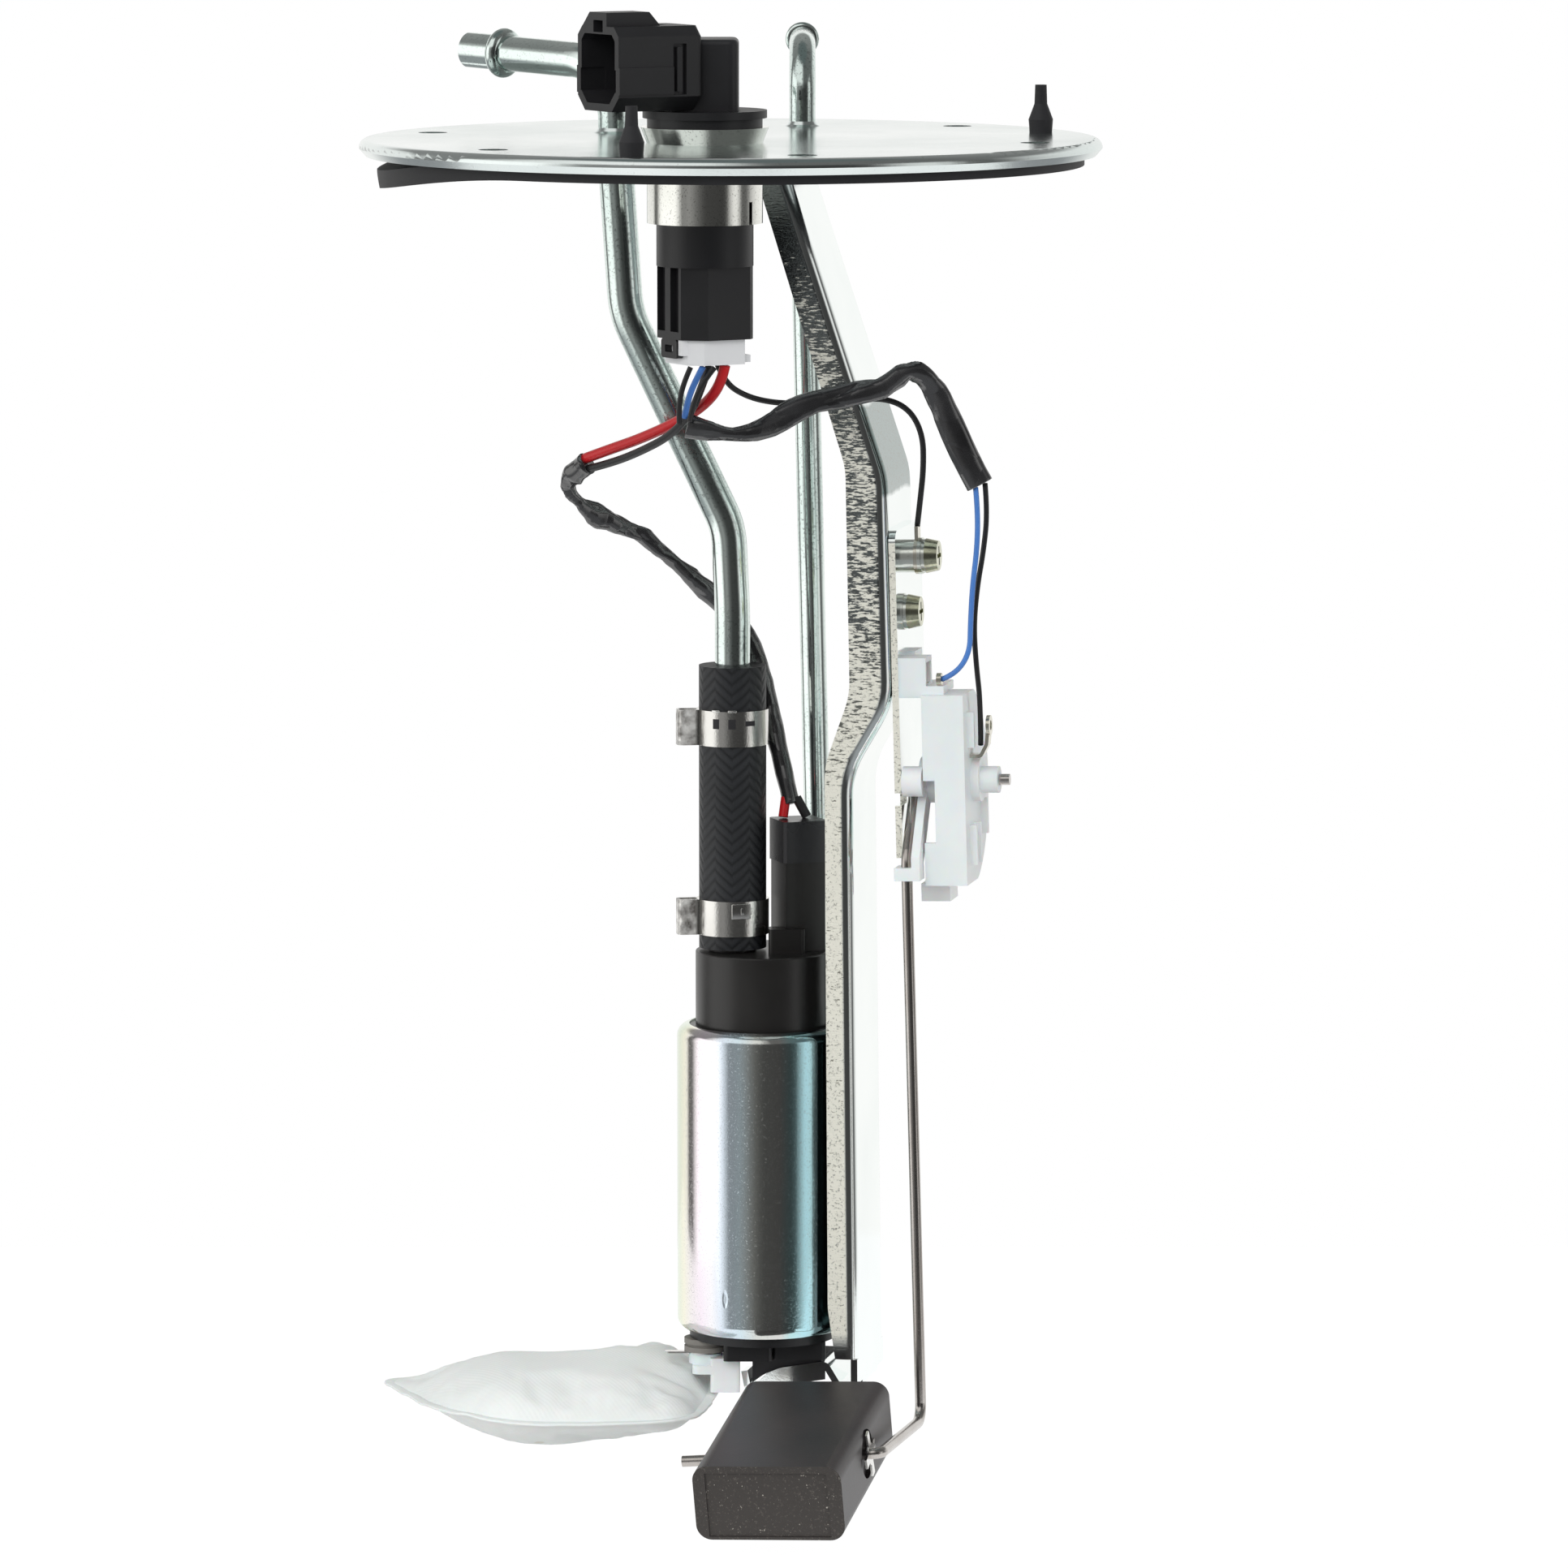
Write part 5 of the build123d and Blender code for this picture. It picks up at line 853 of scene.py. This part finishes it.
def canMaterial():
    # passivated zinc can: tints round the barrel with painted reflections and painted shade in them, and
    # bright metal specks over it
    tree, shader, vector = newMaterial("pumpCan", (0.7, 0.72, 0.72), metallic=1.0, roughness=0.09)
    axes = fromAxis(tree, vector, (0.007, 0.015))
    turn = turnFromFront(tree, axes)
    patch = patches(tree, vector, scale=22.0, contrast=1.6)
    # painted reflections by the turn: light bands on the left and right, and a dark band of painted shade
    # from the bracket from 0.614 to about 0.7
    tintWithPaintedLight = ramp(
        tree,
        timesPlus(tree, patch, 0.016, turn),
        [
            (0.0, (0.74, 0.80, 0.80)), (0.27, (0.74, 0.82, 0.70)), (0.30, (0.76, 0.82, 0.66)),
            (0.325, (0.90, 0.88, 0.72)), (0.352, (0.90, 0.86, 0.85)), (0.383, (0.93, 0.84, 0.92)),
            (0.41, (0.93, 0.92, 0.95)), (0.43, (0.74, 0.82, 0.92)), (0.465, (0.66, 0.79, 0.85)),
            (0.495, (0.68, 0.70, 0.66)), (0.54, (0.68, 0.68, 0.66)), (0.562, (0.50, 0.76, 0.78)),
            (0.592, (0.46, 0.76, 0.84)), (0.607, (0.42, 0.66, 0.70)), (0.614, (0.10, 0.15, 0.16)),
            (0.66, (0.12, 0.18, 0.18)), (0.74, (0.60, 0.68, 0.68)), (1.0, (0.74, 0.80, 0.80)),
        ],
    )
    grain = grains(tree, vector, scale=2300.0, threshold=0.57)
    # how much duller plating catches the light, by the turn: most of it just left of the middle
    shares = [
        (0.0, 0.03), (0.405, 0.03), (0.438, 0.40), (0.470, 0.40), (0.494, 0.12), (0.555, 0.06), (0.58, 0.03),
    ]
    scatter = ramp(tree, turn, [(place, (share, share, share)) for place, share in shares])
    bead = grains(tree, vector, scale=2100.0, threshold=0.6)["Mask"]
    caught = times(tree, scatter, timesPlus(tree, bead, 1.1, 0.22))
    wire(
        shader, Base_Color=mixColour(tree, times(tree, grain["Mask"], 0.3), tintWithPaintedLight, (0.45, 0.47, 0.48)),
        Metallic=minus(tree, 1.0, caught),
    )
    coarse = grains(tree, vector, scale=1300.0, threshold=0.62)["Mask"]
    height = timesPlus(tree, coarse, 0.8, times(tree, grain["Mask"], 0.5))
    height = timesPlus(tree, grain["Height"], 0.35, height)
    # a small pressed dimple low on the left of the front
    dimple = {"turn": 0.428, "z": -0.2595, "wide": 0.005, "tall": 0.0019, "deep": 16.0}
    sideways = mathNode(tree, "DIVIDE", minus(tree, turn, dimple["turn"]), dimple["wide"])
    upward = mathNode(tree, "DIVIDE", minus(tree, axes[2], dimple["z"]), dimple["tall"])
    squares = plus(tree, times(tree, sideways, sideways), times(tree, upward, upward))
    pressed = times(tree, minus(tree, 1.3, squares, clamp=True), -dimple["deep"])
    addBump(tree, shader, plus(tree, height, pressed), strength=0.2, distance=0.00003)


def hoseMaterial():
    # braided cover: slanted ribs that change hand at each band round the hose, with painted shade in the gaps
    # between them
    look = {"bands": 12, "pitch": 0.0024, "slant": 1.5, "gap": (0.007, 0.008, 0.009)}
    tree, shader, vector = newMaterial("braidedHose", (0.022, 0.023, 0.025), roughness=0.5)
    axes = fromAxis(tree, vector, (0.0002, 0.015))
    around = mathNode(tree, "ARCTAN2", axes[1], axes[0])
    fold = mathNode(tree, "PINGPONG", times(tree, around, look["bands"] / (2 * math.pi)), 1.0)
    lift = mathNode(tree, "DIVIDE", axes[2], look["pitch"])
    rib = mathNode(tree, "PINGPONG", timesPlus(tree, fold, look["slant"], lift), 0.5)
    flat = mathNode(tree, "SMOOTH_MIN", times(tree, rib, 2.0), 0.7, 0.2)
    grain = grains(tree, vector, scale=1600.0, threshold=0.6)
    patch = patches(tree, vector, scale=90.0, contrast=2.0)
    worn = mixColour(tree, patch, (0.018, 0.019, 0.021), (0.032, 0.034, 0.038))
    # painted shade: the gap colour darkens the valleys between the ribs
    wire(shader, Base_Color=mixColour(tree, flat, look["gap"], worn))
    addBump(tree, shader, timesPlus(tree, grain["Height"], 0.2, flat), strength=0.6, distance=0.0003)


def floatMaterial():
    # closed-cell foam: smooth skin on the long faces, open cells with bright specks on the cut ends
    look = {
        "end": (-0.18, -0.94, -0.17), "warm": (0.036, 0.028, 0.029), "cool": (0.021, 0.019, 0.020),
        "cell": (0.046, 0.041, 0.038), "rib": (0.090, 0.080, 0.072), "speck": (0.55, 0.52, 0.46),
    }
    tree, shader, vector = newMaterial("floatFoam", (0.06, 0.055, 0.056), roughness=0.5)
    cut = placeGroup(tree, facingGroup, Direction=look["end"], From=0.93)["Mask"]
    patch = patches(tree, vector, scale=60.0, contrast=2.2)
    skin = mixColour(tree, patch, look["cool"], look["warm"])
    grain = grains(tree, vector, scale=1500.0, threshold=0.58)
    specks = grains(tree, vector, scale=1100.0, threshold=0.66)["Mask"]
    cells = mixColour(tree, specks, mixColour(tree, grain["Mask"], look["cell"], look["rib"]), look["speck"])
    skin = mixColour(tree, times(tree, specks, 0.12), skin, (0.30, 0.28, 0.26))
    wire(shader, Base_Color=mixColour(tree, cut, skin, cells), Roughness=timesPlus(tree, cut, 0.3, 0.38))
    height = times(tree, grain["Height"], plus(tree, cut, 0.25))
    addBump(tree, shader, height, strength=0.6, distance=0.00012)


def sleeveMaterial():
    # thin black vinyl sleeve: glossy, with small flat facets and dusty patches
    look = {"base": (0.012, 0.012, 0.013), "dusty": (0.032, 0.032, 0.034), "rough": 0.11}
    tree, shader, vector = newMaterial("sleeveVinyl", look["base"], roughness=look["rough"], IOR=2.0)
    patch = patches(tree, vector, scale=110.0, contrast=2.6)
    fine = grains(tree, vector, scale=700.0, threshold=0.6)["Height"]
    facets = addNode(
        tree, "ShaderNodeTexVoronoi", feature="DISTANCE_TO_EDGE", Vector=vector, Scale=130.0, Randomness=1.0
    ).outputs["Distance"]
    colour = mixColour(tree, patch, look["base"], look["dusty"])
    wire(shader, Base_Color=colour, Roughness=timesPlus(tree, patch, 0.12, look["rough"]))
    height = timesPlus(tree, facets, 8.0, times(tree, fine, 0.12))
    addBump(tree, shader, height, strength=0.6, distance=0.00012)


def bagMaterial():
    # woven nylon strainer cloth: fine crossing threads, faint grey-green clouds, small welded spots
    look = {
        "cloth": (0.91, 0.935, 0.925), "cloud": (0.83, 0.87, 0.855), "spot": (0.66, 0.63, 0.54),
        "threads": 5200.0, "spotSize": 0.085,
    }
    tree, shader, vector = newMaterial(
        "strainerCloth", look["cloth"], roughness=0.55, Subsurface_Weight=0.15, Subsurface_Scale=0.004
    )
    patch = patches(tree, vector, scale=45.0, contrast=1.8)
    spots = addNode(tree, "ShaderNodeTexVoronoi", Vector=vector, Scale=62.0, Randomness=0.9)
    near = rising(tree, look["spotSize"], spots.outputs["Distance"], 30.0)
    colour = mixColour(tree, patch, look["cloth"], look["cloud"])
    wire(shader, Base_Color=mixColour(tree, times(tree, near, 0.7), colour, look["spot"]))
    axes = splitAxes(tree, vector)
    warp, weft = (mathNode(tree, "SINE", times(tree, axes[i], look["threads"])) for i in (0, 1))
    height = timesPlus(tree, near, -3.0, times(tree, times(tree, warp, weft), 0.35))
    height = timesPlus(tree, patch, 1.0, height)
    addBump(tree, shader, height, strength=0.35, distance=0.00012)


def clampMaterial():
    # bright clamp steel with flat dents pressed into it by the closing tool, on its ears alone
    look = {
        "bright": (0.88, 0.87, 0.84), "shade": (0.70, 0.69, 0.66), "dark": (0.16, 0.15, 0.14),
        "earsFrom": -0.0076, "earsEdge": 1500.0,
    }
    tree, shader, vector = newMaterial("clampSteel", look["bright"], metallic=1.0, roughness=0.15)
    ears = rising(tree, look["earsFrom"], splitAxes(tree, vector)[0], look["earsEdge"])
    dents = addNode(tree, "ShaderNodeTexVoronoi", Vector=vector, Scale=420.0, Randomness=1.0)
    shades = patches(tree, vector, scale=340.0, contrast=3.4)
    grain = grains(tree, vector, scale=1800.0, threshold=0.6)["Height"]
    patch = patches(tree, vector, scale=60.0, contrast=2.2)
    plain = mixColour(tree, patch, look["bright"], look["shade"])
    folded = mixColour(tree, shades, look["bright"], look["dark"])
    wire(shader, Base_Color=mixColour(tree, ears, plain, folded), Metallic=timesPlus(tree, ears, -0.6, 1.0))
    dented = times(tree, dents.outputs["Distance"], times(tree, ears, 12.0))
    addBump(tree, shader, plus(tree, dented, grain), strength=0.4, distance=0.0001)


for makeMaterial in (
    pipeMaterial, canMaterial, hoseMaterial, floatMaterial, sleeveMaterial, bagMaterial, clampMaterial
):
    makeMaterial()
print("finishes made:", len(finish))

# the nodes and new pieces that wear each finish
worn = {
    "flangeZinc": "flange_plate braze_fillets",
    "bracketZinc": "bracket",
    "plateZinc": "sender_plate",
    "pipeZinc": "supply_pipe return_pipe",
    "ferruleSteel": "connector_ferrule",
    "clampSteel": "hose_clamps",
    "brightSteel": "strainer_retainer float_clip float_stop motor_shaft check_spring clampTabs",
    "armSteel": "arm_wire",
    "screwZinc": "sender_screws",
    "paleZinc": "sender_washers screw_spacer weld_nuts",
    "tinnedBrass": "ground_terminal connector_terminals pump_terminals sender_terminals sender_wiper"
    " blue_crimp",
    "motorIron": "armature motor_magnets motor_brushes",
    "pumpCan": "pump_can",
    "blackRubber": "gasket pump_isolator connector_seal clampSlots",
    "greyRubber": "inlet_grommet",
    "braidedHose": "fuel_hose",
    "blackPlastic": "connector_housing connector_latch inlet_cap pump_chamber impeller",
    "capPlastic": "outlet_cap",
    "plugPlastic": "pump_plug",
    "resistorCard": "resistor_card",
    "whitePlastic": "harness_plug",
    "naturalPlastic": "sender_housing sender_rotor strainer_neck check_valve",
    "floatFoam": "float_block",
    "strainerCloth": "strainer_bag strainerBag strainerSeam",
    "redVinyl": "red_lead plug_lead_red redLead",
    "blackVinyl": "black_lead plug_lead_black sender_lead black_tails ground_lead"
    " blackLead senderLead groundLead blackTails",
    "blueVinyl": "blue_lead blue_tail blueLead blueTail",
    "sleeveVinyl": "pump_sleeve sender_sleeve pumpSleeve senderSleeve",
}
# record slot of each finish that a new piece wears
for look, names in worn.items():
    for name in names.split():
        piece = cad[name] if name in cad else made[name]
        piece.data.materials.clear()
        piece.data.materials.append(finish[look])
print("nodes and pieces dressed")

studio = {
    "floorZ": -0.306,
    "floorFront": -0.12,
    "floorHalf": (0.30, 0.22),
    "floorGlow": 1.09,
    "floorShown": 0.9,
    "overhead": (0.34, 7.0),
    "zenith": (0.84, 12.0),
    "below": (-0.25, 5.0),
}
# place, width, height and power of each lamp, and the height that it aims at
lamps = {
    "softFront": {"place": (-0.5, -1.9, 0.55), "wide": 1.4, "tall": 1.2, "power": 18.0, "aim": -0.14},
    "softSide": {"place": (1.2, -0.9, 0.1), "wide": 0.6, "tall": 1.2, "power": 6.0, "aim": -0.14},
    "softTop": {"place": (-0.2, -0.5, 1.1), "wide": 0.9, "tall": 0.7, "power": 5.0, "aim": -0.10},
}

bm = bmesh.new()
bmesh.ops.create_grid(bm, x_segments=2, y_segments=2, size=1.0)
bmesh.ops.transform(
    bm,
    matrix=Matrix.Translation((0, studio["floorFront"] + studio["floorHalf"][1], studio["floorZ"]))
    @ Matrix.Diagonal((*studio["floorHalf"], 1, 1)),
    verts=bm.verts,
)
floorMesh = bpy.data.meshes.new("floor")
bm.to_mesh(floorMesh)
bm.free()
floor = addObject("floor", floorMesh)


def blendShaders(tree, factor, first, second, output):
    blend = addNode(tree, "ShaderNodeMixShader")
    for socket, value in zip(blend.inputs, (factor, first.outputs[0], second.outputs[0])):
        feed(socket, value)
    wire(tree.nodes[output], Surface=blend.outputs[0])


tree, shader, vector = newMaterial("paleFloor", (0.9, 0.9, 0.9), roughness=0.9)
rays = addNode(tree, "ShaderNodeLightPath").outputs
seen = mathNode(tree, "MAXIMUM", rays["Is Camera Ray"], rays["Is Glossy Ray"])
seen = mathNode(tree, "MAXIMUM", seen, rays["Is Transmission Ray"])
glow = addNode(tree, "ShaderNodeEmission", Strength=studio["floorGlow"], Color=(1, 1, 1, 1))
blendShaders(tree, times(tree, seen, studio["floorShown"]), shader, glow, "Material Output")
floor.data.materials.append(finish["paleFloor"])

# the room: dark in front, tall white screens to the left and right, white behind and above
world = bpy.data.worlds.new("studio")
bpy.context.scene.world = world
world.use_nodes = True
tree = world.node_tree
axes = splitAxes(tree, addNode(tree, "ShaderNodeTexCoord").outputs["Generated"])
turn = turnFromFront(tree, axes)


def screens(bearings):
    # brightness by bearing in degrees, 0 being straight towards the camera and + to the right
    warm = [(0.5 + bearing / 360, (level, level * 0.995, level * 0.98)) for bearing, level in bearings]
    return ramp(tree, turn, warm)


room = screens([
    (-180, 1.0), (-150, 0.95), (-124, 0.95), (-118, 0.14), (-110, 0.14), (-104, 0.75), (-98, 1.2),
    (-88, 1.25), (-61, 1.25), (-54, 0.80), (-47, 0.24), (-39, 0.25), (-31, 0.28), (-24, 0.23),
    (-17, 0.16), (-9, 0.10), (2, 0.055), (38, 0.045), (45, 0.09), (51, 0.42), (58, 0.78), (66, 0.88),
    (72, 0.62), (79, 0.12), (92, 0.12), (106, 0.55), (126, 0.9), (150, 1.0), (180, 1.0),
])
ceiling = screens([(-180, 0.30), (-95, 0.22), (-75, 0.95), (-8, 0.95), (12, 0.14), (90, 0.16), (180, 0.30)])
room = mixColour(tree, rising(tree, axes[2], *studio["overhead"]), room, ceiling)
room = mixColour(tree, rising(tree, axes[2], *studio["zenith"]), room, (0.13, 0.15, 0.15))
lowest, steepness = studio["below"]
room = mixColour(tree, rising(tree, lowest, axes[2], steepness), room, (0.3, 0.31, 0.32))
sky = tree.nodes["Background"]
wire(sky, Color=room, Strength=1.0)
plain = addNode(tree, "ShaderNodeBackground", Strength=1.0, Color=(1, 1, 1, 1))
cameraRay = addNode(tree, "ShaderNodeLightPath").outputs["Is Camera Ray"]
blendShaders(tree, cameraRay, sky, plain, "World Output")

for name, look in lamps.items():
    lamp = bpy.data.lights.new(name, "AREA")
    lamp.shape = "RECTANGLE"
    lamp.size, lamp.size_y, lamp.energy = look["wide"], look["tall"], look["power"]
    box = addObject(name, lamp)
    box.location = look["place"]
    toAim = Vector((0, 0, look["aim"])) - Vector(look["place"])
    box.rotation_euler = toAim.to_track_quat("-Z", "Y").to_euler()
    box.visible_glossy = False  # its shine comes from the room's screens instead
print("studio lit")

bpy.context.scene.view_settings.view_transform = "Standard"
